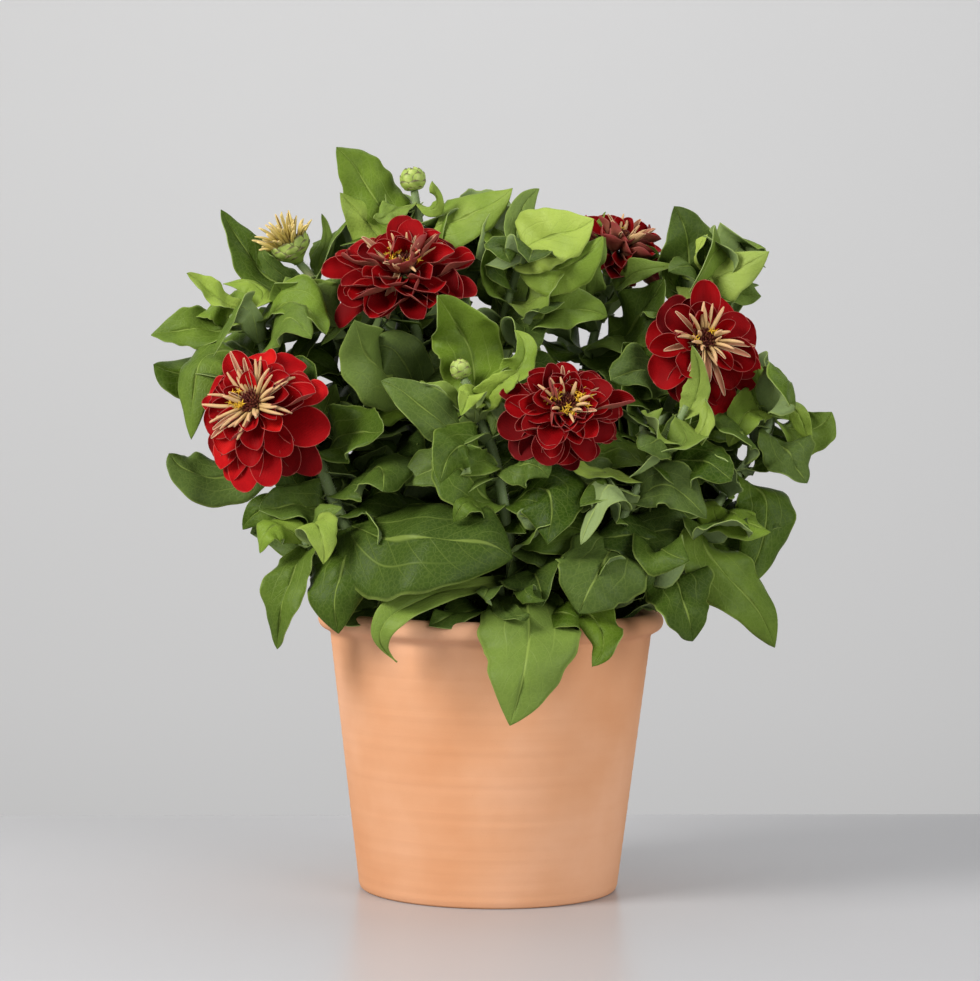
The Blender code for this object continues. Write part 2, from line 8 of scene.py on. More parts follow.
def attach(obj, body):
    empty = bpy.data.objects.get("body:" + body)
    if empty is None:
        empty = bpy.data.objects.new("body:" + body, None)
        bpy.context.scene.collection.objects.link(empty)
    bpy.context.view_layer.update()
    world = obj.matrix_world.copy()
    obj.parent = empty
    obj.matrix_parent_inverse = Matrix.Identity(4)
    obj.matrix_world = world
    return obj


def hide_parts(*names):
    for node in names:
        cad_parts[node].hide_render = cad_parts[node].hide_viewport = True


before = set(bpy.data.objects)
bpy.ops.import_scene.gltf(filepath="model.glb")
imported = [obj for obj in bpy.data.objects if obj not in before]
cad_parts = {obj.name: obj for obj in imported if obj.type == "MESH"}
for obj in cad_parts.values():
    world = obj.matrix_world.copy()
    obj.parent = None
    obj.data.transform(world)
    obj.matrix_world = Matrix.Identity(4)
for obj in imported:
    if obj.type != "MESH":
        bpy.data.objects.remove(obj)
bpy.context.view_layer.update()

MM = 0.001

# The plant, as its solids were drawn ------------------------------------------------------------

# Each shoot: its root (a shoot and a point of it), its points from the bottom up, and its radius
# at both ends.
SHOOTS = {
    "left": (None, [(-26, -4, 108), (-27, -5, 126), (-44, -20, 148), (-60, -33, 166), (-71, -41, 182),
                    (-79, -40, 200), (-86, -34, 216), (-97, -28, 229), (-108, -43, 235)], 4.2, 2.2),
    "left_side": (("left", 3), [(-76, -38, 166), (-90, -56, 176)], 2.4, 1.8),
    "left_top": (("left", 2), [(-52, 0, 190), (-66, 12, 236), (-80, 18, 278), (-92, 20, 304),
                               (-99, 20, 313)], 3.0, 2.0),
    "left_far": (("left_top", 1), [(-78, -6, 208), (-98, -10, 226), (-110, -8, 252), (-117, -6, 276),
                                   (-124, -6, 292)], 2.5, 1.6),
    "middle": (None, [(2, 12, 108), (2, 12, 126), (-8, 10, 165), (-20, 8, 205), (-31, 6, 245),
                      (-38, 4, 275), (-43, -6, 295)], 4.2, 2.3),
    "crown": (("middle", 3), [(-28, 18, 250), (-35, 24, 296), (-38, 26, 330), (-41, 26, 350)], 2.8, 2.0),
    "front": (("middle", 1), [(8, -20, 142), (10, -50, 166), (6, -64, 192), (1, -62, 218),
                              (-8, -58, 240), (-14, -56, 255)], 3.2, 1.9),
    "heart": (("middle", 2), [(0, 8, 210), (3, 5, 255), (5, 3, 285), (11, 0, 308),
                              (16, -2, 319)], 3.0, 1.6),
    "back": (("middle", 2), [(-12, 44, 195), (-22, 68, 232), (-28, 80, 262)], 2.8, 1.6),
    "right": (None, [(38, 2, 108), (38, 2, 126), (44, 0, 143), (53, -4, 165), (68, -6, 200),
                     (84, -6, 235), (95, -10, 258), (100, -25, 269)], 4.2, 2.2),
    "centre_front": (("right", 1), [(34, -22, 160), (30, -38, 196), (29, -48, 219),
                                    (32, -67, 233)], 3.2, 2.2),
    "right_front": (("right", 1), [(46, -28, 146), (56, -52, 172), (63, -60, 190), (71, -60, 206),
                                   (84, -56, 226), (93, -53, 243)], 3.0, 1.6),
    "right_low": (("right", 2), [(62, -30, 156), (82, -50, 168), (100, -45, 184), (118, -32, 206),
                                 (134, -25, 230), (139, -23, 243)], 3.0, 1.6),
    "right_back": (("right", 4), [(78, 10, 240), (92, 20, 280), (101, 24, 298), (107, 25, 309)], 2.6, 1.6),
    "top_right": (("right", 3), [(44, 18, 205), (46, 34, 250), (54, 42, 288), (58, 46, 309)], 2.8, 2.2),
    "back_right": (("right", 2), [(52, 36, 172), (66, 62, 206), (76, 78, 238)], 2.8, 1.6),
}
PLANTS = {
    "stem_left": ("left", "left_side", "left_top", "left_far"),
    "stem_middle": ("middle", "crown", "front", "heart", "back"),
    "stem_right": ("right", "centre_front", "right_front", "right_low", "right_back", "top_right",
                   "back_right"),
}
BLOOM_AXES = {
    "bloom_1": ("left", (-0.36, -0.86, 0.36)),
    "bloom_2": ("middle", (-0.10, -0.62, 0.78)),
    "bloom_3": ("centre_front", (0.12, -0.86, 0.50)),
    "bloom_4": ("right", (0.12, -0.95, 0.28)),
    "bloom_5": ("top_right", (0.35, -0.35, 0.87)),
}
SEED_HEAD = ("left_top", (-0.45, -0.20, 0.87))
BUDS = {"top_bud": ("crown", 6.7, 12.0), "middle_bud": ("front", 5.0, 10.0)}
MIX_TOP = 122.0

# Each leaf pair: shoot, station on it, and two blades. A blade has its middle point, its tip, its
# width, the way its upper side faces, its tint (0 dark green to 1 yellow-green) and, where it
# matters, further marks of its form (see form_of).
LEAF_PAIRS = {
    "leaf_pair_01": ("left", 4.0,
        ((-31, -88, 183), (11, -94, 168), 54, (0, -0.85, 0.5), .10,
         dict(fold=-.2, wave=.12, waves=1.3, twist=.1, curl=-.2, grey=.1, phase=.1, uneven=.2)),
        ((-100, -42, 193), (-124, -46, 186), 19, (0, -0.6, 0.8), .24)),
    "leaf_pair_02": ("left", 3.65,
        ((-73, -74, 164), (-70, -78, 133), 32, (-0.2, -0.9, 0.3), .18, dict(fold=-.2, wave=.1, uneven=.4)),
        ((-58, -22, 202), (-52, -20, 222), 28, (0.2, -0.9, 0.3), .22, dict(grey=.5))),
    "leaf_pair_03": ("left_side", 1.8,
        ((-97, -66, 156), (-107, -62, 124), 21, (-0.5, -0.75, 0.4), .30, dict(fold=.3)),
        ((-82, -76, 186), (-82, -84, 167), 17, (0, -0.9, 0.4), .62, dict(curl=-.3))),
    "leaf_pair_04": ("left_top", 3.1,
        ((-96, 2, 292), (-106, -4, 304), 26, (-0.3, -0.9, 0.3), .40),
        ((-62, 30, 296), (-46, 36, 312), 18, (0, -0.3, 1), .30, dict(grey=.3))),
    "leaf_pair_05": ("left_top", 4.0,
        ((-118, 24, 310), (-139, 26, 340), 22, (0.5, -0.8, 0.3), .26, dict(wave=.2, twist=0, fold=.2)),
        ((-86, 30, 318), (-91, 32, 337), 9, (0, -0.9, 0.3), .35)),
    "leaf_pair_06": ("left_top", 1.6,
        ((-88, 24, 236), (-112, 32, 250), 20, (0, 0.3, 1), .20),
        ((-46, -12, 214), (-34, -22, 216), 14, (0, -0.5, 0.8), .20)),
    "leaf_pair_07": ("left_far", 1.9,
        ((-137, -28, 207), (-160, -32, 216), 26, (0, -0.8, 0.6), .22,
         dict(wave=.22, fold=-.2, twist=0, curl=0)),
        ((-82, -6, 238), (-72, -4, 248), 12, (0, -0.5, 0.8), .15)),
    "leaf_pair_08": ("left_far", 3.3,
        ((-141, -28, 264), (-150, -34, 224), 25, (-0.4, -0.8, 0.5), .34,
         dict(fold=-.25, wave=.15, twist=0)),
        ((-98, 8, 268), (-88, 16, 282), 12, (0, -0.6, 0.8), .28)),
    "leaf_pair_09": ("left_far", 2.7,
        ((-142, -4, 254), (-168, -6, 264), 30, (0, -0.8, 0.6), .24, dict(fold=-.2, twist=0, curl=0)),
        ((-88, 10, 250), (-72, 20, 258), 12, (0, -0.4, 0.9), .22)),
    "leaf_pair_10": ("left_far", 4.1,
        ((-145, -8, 278), (-169, -10, 281), 22, (0, -0.7, 0.7), .35),
        ((-112, 16, 288), (-106, 32, 296), 12, (0, 0, 1), .30)),
    "leaf_pair_11": ("left_top", 0.55,
        ((-76, 34, 172), (-104, 60, 160), 27, (-0.2, 0.4, 0.9), .15),
        ((-26, 16, 178), (-12, 34, 178), 14, (0, 0.2, 1), .10)),
    "leaf_pair_12": ("middle", 4.3,
        ((-56, -32, 260), (-71, -44, 281), 33, (0.2, -0.8, 0.5), .42, dict(grey=.45, fold=-.12, wave=.12)),
        ((-12, 12, 262), (-2, 18, 276), 13, (0, -0.3, 0.9), .30)),
    "leaf_pair_13": ("middle", 3.85,
        ((-56, -14, 240), (-75, -18, 230), 17, (0, -0.5, 0.9), .35, dict(wave=.2)),
        ((-4, -16, 236), (8, -26, 236), 13, (0, -0.2, 1), .30)),
    "leaf_pair_14": ("crown", 3.0,
        ((-60, 24, 348), (-83, 24, 369), 28, (-0.3, -0.8, 0.5), .40,
         dict(wave=.2, waves=1.8, fold=-.15, twist=-.15, curl=0, phase=.6)),
        ((-20, 18, 334), (8, 14, 352), 26, (0, -0.95, 0.3), .56,
         dict(wave=.22, waves=1.2, twist=.5, curl=.1))),
    "leaf_pair_15": ("crown", 2.5,
        ((-60, 20, 330), (-80, 20, 345), 20, (0, -0.85, 0.5), .60, dict(curl=.3, wave=.3)),
        ((-14, 32, 322), (8, 32, 332), 28, (0, -0.9, 0.4), .20)),
    "leaf_pair_16": ("crown", 1.3,
        ((-48, 46, 272), (-68, 64, 284), 22, (0, 0.3, 1), .25),
        ((-8, 44, 276), (8, 60, 290), 18, (0, 0.3, 1), .25)),
    "leaf_pair_17": ("front", 1.6,
        ((18, -97, 136), (10, -106, 95), 40, (0, -0.9, 0.45), .44,
         dict(fold=-.1, wave=.16, waves=1.8, twist=0, curl=.1, grey=.35, phase=.3, lean=0, uneven=.8)),
        ((-38, -86, 150), (-60, -96, 124), 15, (0, -0.3, 0.9), .50,
         dict(twist=.9, fold=.2, wave=.2, grey=.3))),
    "leaf_pair_18": ("front", 3.1,
        ((-13, -79, 210), (-21, -80, 226), 28, (-0.1, -0.9, 0.4), .25, dict(fold=.12)),
        ((26, -78, 202), (27, -88, 177), 32, (0.1, -0.85, 0.5), .08, dict(wave=.3, fold=-.2))),
    "leaf_pair_19": ("front", 4.3,
        ((-29, -78, 240), (-55, -74, 252), 19, (0, -0.9, 0.5), .22, dict(wave=.36, waves=1.6, fold=.2)),
        ((4, -64, 244), (0, -66, 228), 18, (0, -0.9, 0.4), .36, dict(grey=.4, fold=-.3))),
    "leaf_pair_20": ("front", 5.2,
        ((-13, -42, 270), (-26, -56, 296), 31, (0.1, -0.95, 0.2), .38,
         dict(fold=.34, wave=.44, waves=1.9, twist=.1, curl=0)),
        ((13, -54, 260), (8, -52, 277), 14, (-0.4, -0.9, 0.3), .52, dict(fold=.4, wave=.2))),
    "leaf_pair_21": ("centre_front", 1.5,
        ((14, -20, 186), (-8, -18, 196), 22, (0, -0.3, 0.9), .15),
        ((52, -24, 190), (66, -22, 206), 16, (0, -0.5, 0.8), .18)),
    "leaf_pair_22": ("right_front", 1.1,
        ((52, -80, 142), (44, -94, 124), 21, (0.1, -0.8, 0.5), .32),
        ((58, -10, 140), (76, 8, 142), 12, (0, -0.2, 1), .20)),
    "leaf_pair_23": ("right_front", 2.5,
        ((52, -84, 168), (41, -94, 146), 38, (0, -0.85, 0.5), .18, dict(wave=.2, fold=-.2)),
        ((72, -46, 190), (84, -42, 192), 15, (0, -0.9, 0.2), .15, dict(grey=.5))),
    "leaf_pair_24": ("right_front", 4.0,
        ((50, -68, 212), (33, -70, 214), 13, (0, -0.4, 0.9), .60, dict(curl=.3)),
        ((90, -48, 212), (109, -46, 221), 20, (0, -0.7, 0.6), .30)),
    "leaf_pair_25": ("right_front", 5.6,
        ((99, -52, 250), (94, -62, 272), 12, (-0.3, -0.9, 0.2), .66, dict(grey=.3, fold=.3)),
        ((86, -71, 223), (64, -77, 216), 18, (0.2, 0.3, 0.9), .50, dict(grey=.3))),
    "leaf_pair_26": ("right", 4.6,
        ((54, -12, 232), (36, -16, 246), 18, (0, -0.4, 0.9), .25),
        ((104, 0, 226), (128, 4, 240), 27, (0, -0.7, 0.7), .20, dict(twist=0))),
    "leaf_pair_27": ("back", 2.2,
        ((-54, 88, 238), (-80, 104, 240), 24, (0, 0.4, 0.9), .35),
        ((6, 88, 244), (26, 104, 252), 22, (0, 0.4, 0.9), .40)),
    "leaf_pair_28": ("right_low", 2.1,
        ((90, -74, 154), (101, -78, 132), 28, (0.1, -0.85, 0.5), .15, dict(fold=.12)),
        ((86, -34, 192), (94, -30, 212), 13, (-0.2, -0.9, 0.2), .25)),
    "leaf_pair_29": ("right_low", 3.05,
        ((114, -60, 164), (142, -58, 127), 28, (0.3, -0.8, 0.5), .36, dict(fold=-.2)),
        ((92, -14, 182), (92, 6, 180), 16, (0, 0.2, 1), .15)),
    "leaf_pair_30": ("right_low", 3.5,
        ((116, -60, 192), (134, -64, 184), 26, (0, -0.8, 0.6), .46, dict(wave=.2)),
        ((104, -18, 200), (112, -8, 210), 22, (0, -0.8, 0.6), .14, dict(twist=0))),
    "leaf_pair_31": ("right_low", 4.1,
        ((134, -42, 192), (122, -50, 155), 27, (0.3, -0.9, 0.4), .24,
         dict(fold=-.2, wave=.18, twist=0, curl=0, lean=0)),
        ((114, -12, 215), (124, -4, 224), 22, (0, -0.8, 0.6), .18, dict(twist=0))),
    "leaf_pair_32": ("right_low", 5.0,
        ((144, -40, 220), (154, -44, 207), 25, (0.2, -0.8, 0.5), .22),
        ((138, -6, 246), (134, -4, 262), 16, (-0.3, -0.9, 0.2), .40)),
    "leaf_pair_33": ("right_low", 5.5,
        ((156, -22, 232), (167, -20, 241), 21, (0, -0.8, 0.5), .40, dict(wave=.3)),
        ((124, -40, 240), (113, -44, 224), 17, (0, -0.8, 0.5), .55, dict(fold=.3))),
    "leaf_pair_34": ("right_back", 2.7,
        ((99, 16, 318), (88, 14, 341), 27, (0.1, -0.95, 0.2), .20, dict(wave=.42, waves=1.4, curl=.3)),
        ((118, 22, 302), (134, 22, 304), 15, (0, -0.6, 0.8), .35, dict(twist=0, curl=0, lean=0))),
    "leaf_pair_35": ("back_right", 2.4,
        ((98, 86, 222), (122, 98, 226), 24, (0.2, 0.4, 0.9), .30),
        ((56, 96, 228), (44, 108, 230), 18, (0, 0.4, 0.9), .40)),
    "leaf_pair_36": ("right_back", 1.4,
        ((66, 32, 262), (58, 56, 268), 16, (0, 0.3, 1), .25),
        ((108, 34, 264), (130, 46, 272), 22, (0, 0.2, 1), .35)),
    "leaf_pair_37": ("top_right", 2.4,
        ((68, 14, 282), (88, 8, 303), 31, (-0.3, -0.8, 0.5), .28, dict(fold=.12, twist=0)),
        ((26, 40, 276), (10, 46, 288), 16, (0, -0.3, 0.9), .25)),
    "leaf_pair_38": ("top_right", 1.4,
        ((20, 48, 226), (0, 66, 230), 23, (0, 0.4, 0.9), .20),
        ((72, 50, 232), (94, 62, 240), 20, (0.1, 0.4, 0.9), .25)),
    "leaf_pair_39": ("heart", 4.2,
        ((25, -12, 323), (47, -14, 337), 32, (-0.2, -0.9, 0.4), .70,
         dict(fold=.15, wave=.12, twist=0, curl=.1, grey=.1)),
        ((0, 12, 324), (-2, 16, 340), 11, (0.3, -0.8, 0.4), .45)),
    "leaf_pair_40": ("heart", 2.8,
        ((32, -10, 290), (57, -12, 288), 25, (0, -0.8, 0.6), .42, dict(wave=.26)),
        ((-6, -24, 285), (-22, -32, 276), 27, (0, -0.9, 0.5), .50, dict(wave=.22, fold=-.3))),
    "leaf_pair_41": ("back", 1.3,
        ((-46, 66, 196), (-72, 86, 182), 26, (0, 0.5, 0.8), .20),
        ((16, 70, 200), (34, 92, 188), 24, (0, 0.5, 0.8), .25)),
    "leaf_pair_42": ("back_right", 1.5,
        ((88, 54, 178), (116, 66, 164), 26, (0.2, 0.5, 0.8), .22),
        ((42, 78, 182), (28, 109, 172), 22, (0, 0.5, 0.8), .25)),
}

# Small leaves that grow between the pairs: shoot, station, and blades as above
SMALL_LEAVES = [
    ("left_far", 4.7, [
        ((-138, -10, 296), (-153, -12, 301), 12, (0, -0.6, 0.7), .62, dict(curl=.4)),
        ((-118, 6, 300), (-136, 8, 305), 12, (0, -0.6, 0.8), .55)]),
    ("left_top", 3.7, [
        ((-112, 12, 310), (-116, 12, 322), 8, (0, -0.9, 0.3), .22),
        ((-90, 0, 300), (-76, -6, 281), 30, (0, -0.8, 0.6), .34, dict(grey=.45, fold=-.1))]),
    ("left", 4.6, [
        ((-96, -30, 206), (-108, -26, 219), 17, (0.3, -0.8, 0.5), .18),
        ((-62, -30, 196), (-50, -28, 208), 18, (0.1, -0.8, 0.5), .15)]),
    ("left", 6.2, [
        ((-84, -24, 236), (-76, -20, 250), 16, (0.2, -0.8, 0.5), .35),
        ((-104, -10, 226), (-120, -4, 224), 14, (0, -0.4, 0.9), .30)]),
    ("left_side", 1.9, [
        ((-104, -64, 184), (-113, -70, 172), 15, (-0.2, -0.7, 0.6), .50, dict(curl=-.5)),
        ((-84, -62, 188), (-72, -66, 194), 12, (0, -0.6, 0.8), .35)]),
    ("right_back", 3.6, [
        ((100, 16, 316), (108, 12, 328), 13, (-0.2, -0.8, 0.5), .80, dict(curl=.2)),
        ((118, 10, 300), (134, 8, 298), 18, (0, -0.8, 0.5), .34, dict(curl=0, wave=.35, twist=0, lean=0))]),
    ("right_back", 3.1, [
        ((110, 4, 306), (136, 2, 318), 27, (0, -0.9, 0.4), .72, dict(wave=.3, fold=-.3, curl=.5)),
        ((92, 14, 302), (84, 10, 312), 14, (0, -0.8, 0.5), .30, dict(wave=.3))]),
    ("top_right", 2.9, [
        ((68, 16, 307), (89, 12, 311), 13, (0, -0.8, 0.6), .48, dict(fold=.3)),
        ((47, 18, 306), (57, 12, 327), 14, (0.2, -0.9, 0.2), .42, dict(fold=.3, grey=.3))]),
    ("top_right", 3.4, [
        ((70, 34, 316), (84, 30, 318), 12, (0, -0.6, 0.8), .28),
        ((48, 40, 322), (56, 44, 342), 11, (0, -0.9, 0.3), .40)]),
    ("right", 5.6, [
        ((76, -14, 258), (62, -16, 272), 24, (0, -0.8, 0.6), .22, dict(twist=0)),
        ((118, 2, 254), (136, 4, 262), 20, (0, -0.7, 0.6), .20)]),
    ("heart", 3.3, [
        ((-2, -8, 306), (1, -12, 321), 13, (0.3, -0.9, 0.3), .44, dict(fold=.3, wave=.2)),
        ((24, -12, 297), (32, -14, 312), 19, (-0.2, -0.8, 0.5), .56, dict(fold=.2))]),
    ("heart", 4.6, [
        ((33, -16, 310), (53, -18, 326), 23, (-0.1, -0.9, 0.4), .52,
         dict(fold=-.2, wave=.1, twist=0, grey=.1)),
        ((12, 6, 336), (22, 8, 351), 12, (0.2, -0.9, 0.3), .42, dict(grey=.5, wave=.05, twist=0))]),
    ("right_front", 3.2, [
        ((55, -82, 204), (42, -92, 178), 21, (0.3, 0.7, -0.3), .62,
         dict(grey=.7, fold=.45, twist=-.4, wave=.4, waves=1.5, curl=0, lean=0)),
        ((76, -60, 206), (84, -60, 208), 9, (0, -0.6, 0.8), .55)]),
    ("front", 4.7, [
        ((-24, -70, 246), (-34, -76, 248), 14, (0, -0.6, 0.8), .60, dict(fold=.6)),
        ((2, -70, 250), (9, -72, 262), 13, (0, -0.8, 0.6), .56, dict(fold=.4)),
        ((-10, -74, 248), (-16, -82, 238), 12, (0, -0.7, 0.7), .62, dict(fold=.3))]),
    ("front", 3.7, [
        ((-14, -84, 224), (-24, -92, 206), 24, (0, -0.9, 0.4), .24, dict(fold=-.2, wave=.2)),
        ((16, -80, 216), (26, -84, 208), 18, (0, -0.9, 0.4), .28)]),
    ("middle", 3.6, [
        ((-42, -20, 262), (-60, -28, 270), 24, (0, -0.9, 0.4), .22, dict(grey=.5, fold=-.2)),
        ((-16, -24, 250), (-6, -38, 254), 20, (0, -0.8, 0.5), .26)]),
    ("front", 2.3, [
        ((-8, -84, 196), (-22, -86, 190), 13, (0, -0.6, 0.8), .30),
        ((22, -76, 184), (34, -84, 192), 13, (0, -0.6, 0.8), .30)]),
    ("right_low", 5.8, [
        ((130, -30, 254), (128, -32, 264), 9, (-0.2, -0.8, 0.4), .45),
        ((148, -30, 240), (159, -34, 224), 10, (0, -0.7, 0.6), .55)]),
    ("right_front", 4.9, [
        ((78, -68, 232), (70, -72, 240), 18, (0.2, -0.7, 0.7), .60, dict(fold=.4)),
        ((100, -60, 236), (106, -64, 245), 10, (-0.2, -0.8, 0.5), .65)]),
    ("left", 2.3, [
        ((-58, -44, 144), (-80, -58, 138), 24, (-0.2, -0.5, 0.8), .12),
        ((-34, 0, 150), (-20, 6, 156), 16, (0, 0, 1), .10)]),
    ("middle", 1.5, [
        ((-22, -34, 142), (-42, -62, 136), 28, (0, -0.4, 0.9), .14),
        ((20, 40, 146), (30, 64, 150), 24, (0, 0.3, 0.9), .12)]),
    ("front", 0.8, [
        ((-8, -52, 142), (-22, -76, 134), 20, (0, -0.5, 0.8), .12),
        ((28, -40, 150), (38, -58, 150), 18, (0, -0.5, 0.8), .14)]),
    ("front", 1.2, [
        ((14, -84, 156), (24, -94, 154), 10, (0, -0.8, 0.6), .16),
        ((0, -82, 156), (-8, -92, 152), 10, (0, -0.8, 0.6), .20),
        ((10, -86, 146), (12, -96, 140), 9, (0, -0.9, 0.4), .14)]),
    ("front", 0.9, [
        ((30, -82, 146), (50, -88, 143), 17, (0, -0.7, 0.6), .24, dict(fold=-.2)),
        ((-12, -66, 144), (-30, -84, 142), 18, (0, -0.6, 0.7), .18)]),
    ("crown", 3.6, [
        ((-30, 16, 344), (-29, 10, 354), 7, (0.1, -0.9, 0.3), .55),
        ((-52, 18, 338), (-62, 12, 334), 12, (0, -0.7, 0.7), .55, dict(curl=.4))]),
]


# Shared mathematics -----------------------------------------------------------------------------


def unit(vectors):
    return vectors / np.maximum(np.linalg.norm(vectors, axis=-1, keepdims=True), 1e-9)


def smooth(x):
    """The S-shaped step 3x2 - 2x3 from 0 to 1."""
    x = np.clip(x, 0.0, 1.0)
    return x * x * (3 - 2 * x)


def turned(angle, first, second):
    """The direction at each angle, in radians, from the first direction towards the second."""
    return np.cos(angle)[..., None] * first + np.sin(angle)[..., None] * second


def square_to(path):
    """Two unit directions square to each direction of the path and to each other."""
    across = unit(np.cross(path, (0.3, 0.9, 0.1)))
    return across, np.cross(path, across)


def shoot_points(name):
    """The shoot's points in metres, from its root on the parent upwards."""
    parent, points, _, _ = SHOOTS[name]
    listed = np.array(points, float) * MM
    if parent is None:
        return listed
    return np.vstack([shoot_points(parent[0])[parent[1]], listed])


def along(points, stations):
    """The points at the stations (1.5 is half way from point 1 to point 2) of the smooth curve
    through all the points: the Catmull-Rom cubic, worked out for the whole array of stations."""
    stations = np.atleast_1d(np.asarray(stations, float))
    padded = np.vstack([2 * points[0] - points[1], points, 2 * points[-1] - points[-2]])
    i = np.clip(stations.astype(int), 0, len(points) - 2)
    u = (stations - i)[:, None]
    before, start, end, after = padded[i], padded[i + 1], padded[i + 2], padded[i + 3]
    return 0.5 * (
        2 * start
        + (end - before) * u
        + (2 * before - 5 * start + 4 * end - after) * u**2
        + (3 * start - before - 3 * end + after) * u**3
    )


def heading(points, station):
    """Unit direction of the curve at a station."""
    last = len(points) - 1
    ahead = min(station + 0.02, last)
    low, high = along(points, [max(ahead - 0.04, 0), ahead])
    return unit(high - low)


def shoot_radius(name, stations):
    """The shoot's radius in metres, which changes evenly from its foot to its top."""
    _, _, low, high = SHOOTS[name]
    return (low + (high - low) * np.asarray(stations) / (len(shoot_points(name)) - 1)) * MM


# Meshes -----------------------------------------------------------------------------------------


def grid_faces(rows, columns, closed=False):
    """The quads of a grid numbered row by row; closed joins its last column to its first."""
    wide = columns if closed else columns - 1
    row = np.arange(rows - 1)[:, None] * columns
    left = row + np.arange(wide)[None, :]
    right = row + (np.arange(wide)[None, :] + 1) % columns
    return np.stack([left, right, right + columns, left + columns], -1).reshape(-1, 4)


def repeated(one, count, size):
    """The faces of one shape, again for each of a count of shapes with so many points each."""
    return (one[None] + size * np.arange(count)[:, None, None]).reshape(-1, one.shape[1])


def sheets(points, t, v, half, **marks):
    """Joins a stack of equal grids, shaped (sheets, rows, columns, 3), into one set of points and
    faces. Each point keeps t and v, its distance across in millimetres, and the marks."""
    count, rows, columns, _ = points.shape
    shape = (count, rows, columns)
    surface = {
        "points": points.reshape(-1, 3),
        "faces": [repeated(grid_faces(rows, columns), count, rows * columns)],
        "t": np.broadcast_to(t, shape).ravel(),
        "v": np.broadcast_to(v, shape).ravel(),
        "across": np.broadcast_to(v * half / MM, shape).ravel(),
    }
    for key, value in marks.items():
        surface[key] = np.broadcast_to(value, shape).ravel()
    return surface


def joined(parts):
    """Several sets of points and faces as one."""
    faces = []
    start = 0
    for part in parts:
        faces += [block + start for block in part["faces"]]
        start += len(part["points"])
    keys = [key for key in parts[0] if key != "faces"]
    whole = {key: np.concatenate([part[key] for part in parts]) for key in keys}
    whole["faces"] = faces
    return whole


def placed(name, data):
    """A new object at the origin that shows the data."""
    made = bpy.data.objects.new(name, data)
    bpy.context.scene.collection.objects.link(made)
    return made


def make_piece(name, surface, finishes, replaced=(), face_finish=None):
    """Puts points and faces into a mesh object at the origin, with its UV map and marks."""
    mesh = bpy.data.meshes.new(name)
    faces = [face for block in surface["faces"] for face in block.tolist()]
    mesh.from_pydata(surface["points"].tolist(), [], faces)
    corner = np.empty(len(mesh.loops), int)
    mesh.loops.foreach_get("vertex_index", corner)
    if "t" in surface:
        flat = mesh.uv_layers.new(name="blade")
        spread = np.stack([surface["t"], surface["v"] * 0.5 + 0.5], -1)
        flat.data.foreach_set("uv", spread[corner].ravel())
    for key, values in surface.items():
        if key not in ("points", "faces", "t", "v"):
            layer = mesh.attributes.new(key, "FLOAT", "POINT")
            layer.data.foreach_set("value", np.asarray(values, np.float32))
    for finish in finishes:
        mesh.materials.append(finish)
    if face_finish is not None:
        mesh.polygons.foreach_set("material_index", np.asarray(face_finish, np.int32))
    mesh.shade_smooth()
    mesh.update()
    made = placed(name, mesh)
    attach(made, "root")
    if replaced:
        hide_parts(*replaced)
    return made


# How thick each kind of sheet is, in metres
THICKNESS = {"leaf": 0.0004, "petal": 0.00013, "quill": 0.00022, "centre": 0.00018, "bract": 0.0004,
             "tube": 0.0002}


def thicken(made, kind, under=1, rim=2):
    """Gives a sheet its thickness behind its upper side, with finishes for underside and edge."""
    wall = made.modifiers.new("thickness", "SOLIDIFY")
    wall.thickness = THICKNESS[kind]
    wall.offset = -1.0
    wall.material_offset = under
    wall.material_offset_rim = rim
    wall.use_even_offset = False


# Finishes ---------------------------------------------------------------------------------------


def new_finish(name, roughness, **constants):
    """A material, its node tree and its shader, with the constants set on the shader's own sockets."""
    made = bpy.data.materials.new(name)
    made.use_nodes = True
    tree = made.node_tree
    shader = tree.nodes["Principled BSDF"]
    shader.inputs["Roughness"].default_value = roughness
    for key, value in constants.items():
        shader.inputs[key.replace("_", " ")].default_value = value
    return made, tree, shader


def add(tree, kind, inputs=(), **settings):
    """A new node. An input is a constant or another node's output."""
    made = tree.nodes.new(kind)
    for key, value in settings.items():
        setattr(made, key, value)
    for key, value in dict(inputs).items():
        if isinstance(value, bpy.types.NodeSocket):
            tree.links.new(value, made.inputs[key])
        else:
            made.inputs[key].default_value = value
    return made


def calc(tree, operation, *values):
    return add(tree, "ShaderNodeMath", enumerate(values), operation=operation).outputs[0]


def fade(tree, value, low, high):
    """0 at low and 1 at high, with a smooth change between them."""
    inputs = {"Value": value, "From Min": low, "From Max": high}
    made = add(tree, "ShaderNodeMapRange", inputs, interpolation_type="SMOOTHSTEP")
    return made.outputs["Result"]


def ramp(tree, factor, stops):
    made = add(tree, "ShaderNodeValToRGB", {"Fac": factor})
    elements = made.color_ramp.elements
    while len(elements) < len(stops):
        elements.new(0.5)
    for element, (place, colour) in zip(elements, stops):
        element.position = place
        element.color = (*colour, 1.0)
    return made.outputs["Color"]


def blend(tree, factor, first, second, kind="MIX"):
    made = add(tree, "ShaderNodeMix", data_type="RGBA", blend_type=kind)
    for index, value in ((0, factor), (6, first), (7, second)):
        if isinstance(value, bpy.types.NodeSocket):
            tree.links.new(value, made.inputs[index])
        else:
            made.inputs[index].default_value = value if index == 0 else (*value, 1.0)
    return made.outputs[2]


def noise(tree, scale, detail=3.0, vector=None):
    """Soft spots, finer as the scale grows."""
    place = vector or add(tree, "ShaderNodeTexCoord").outputs["Object"]
    inputs = {"Vector": place, "Scale": scale, "Detail": detail}
    return add(tree, "ShaderNodeTexNoise", inputs).outputs["Fac"]


def mark(tree, name):
    """A mark that the mesh carries on its points."""
    return add(tree, "ShaderNodeAttribute", attribute_name=name).outputs["Fac"]


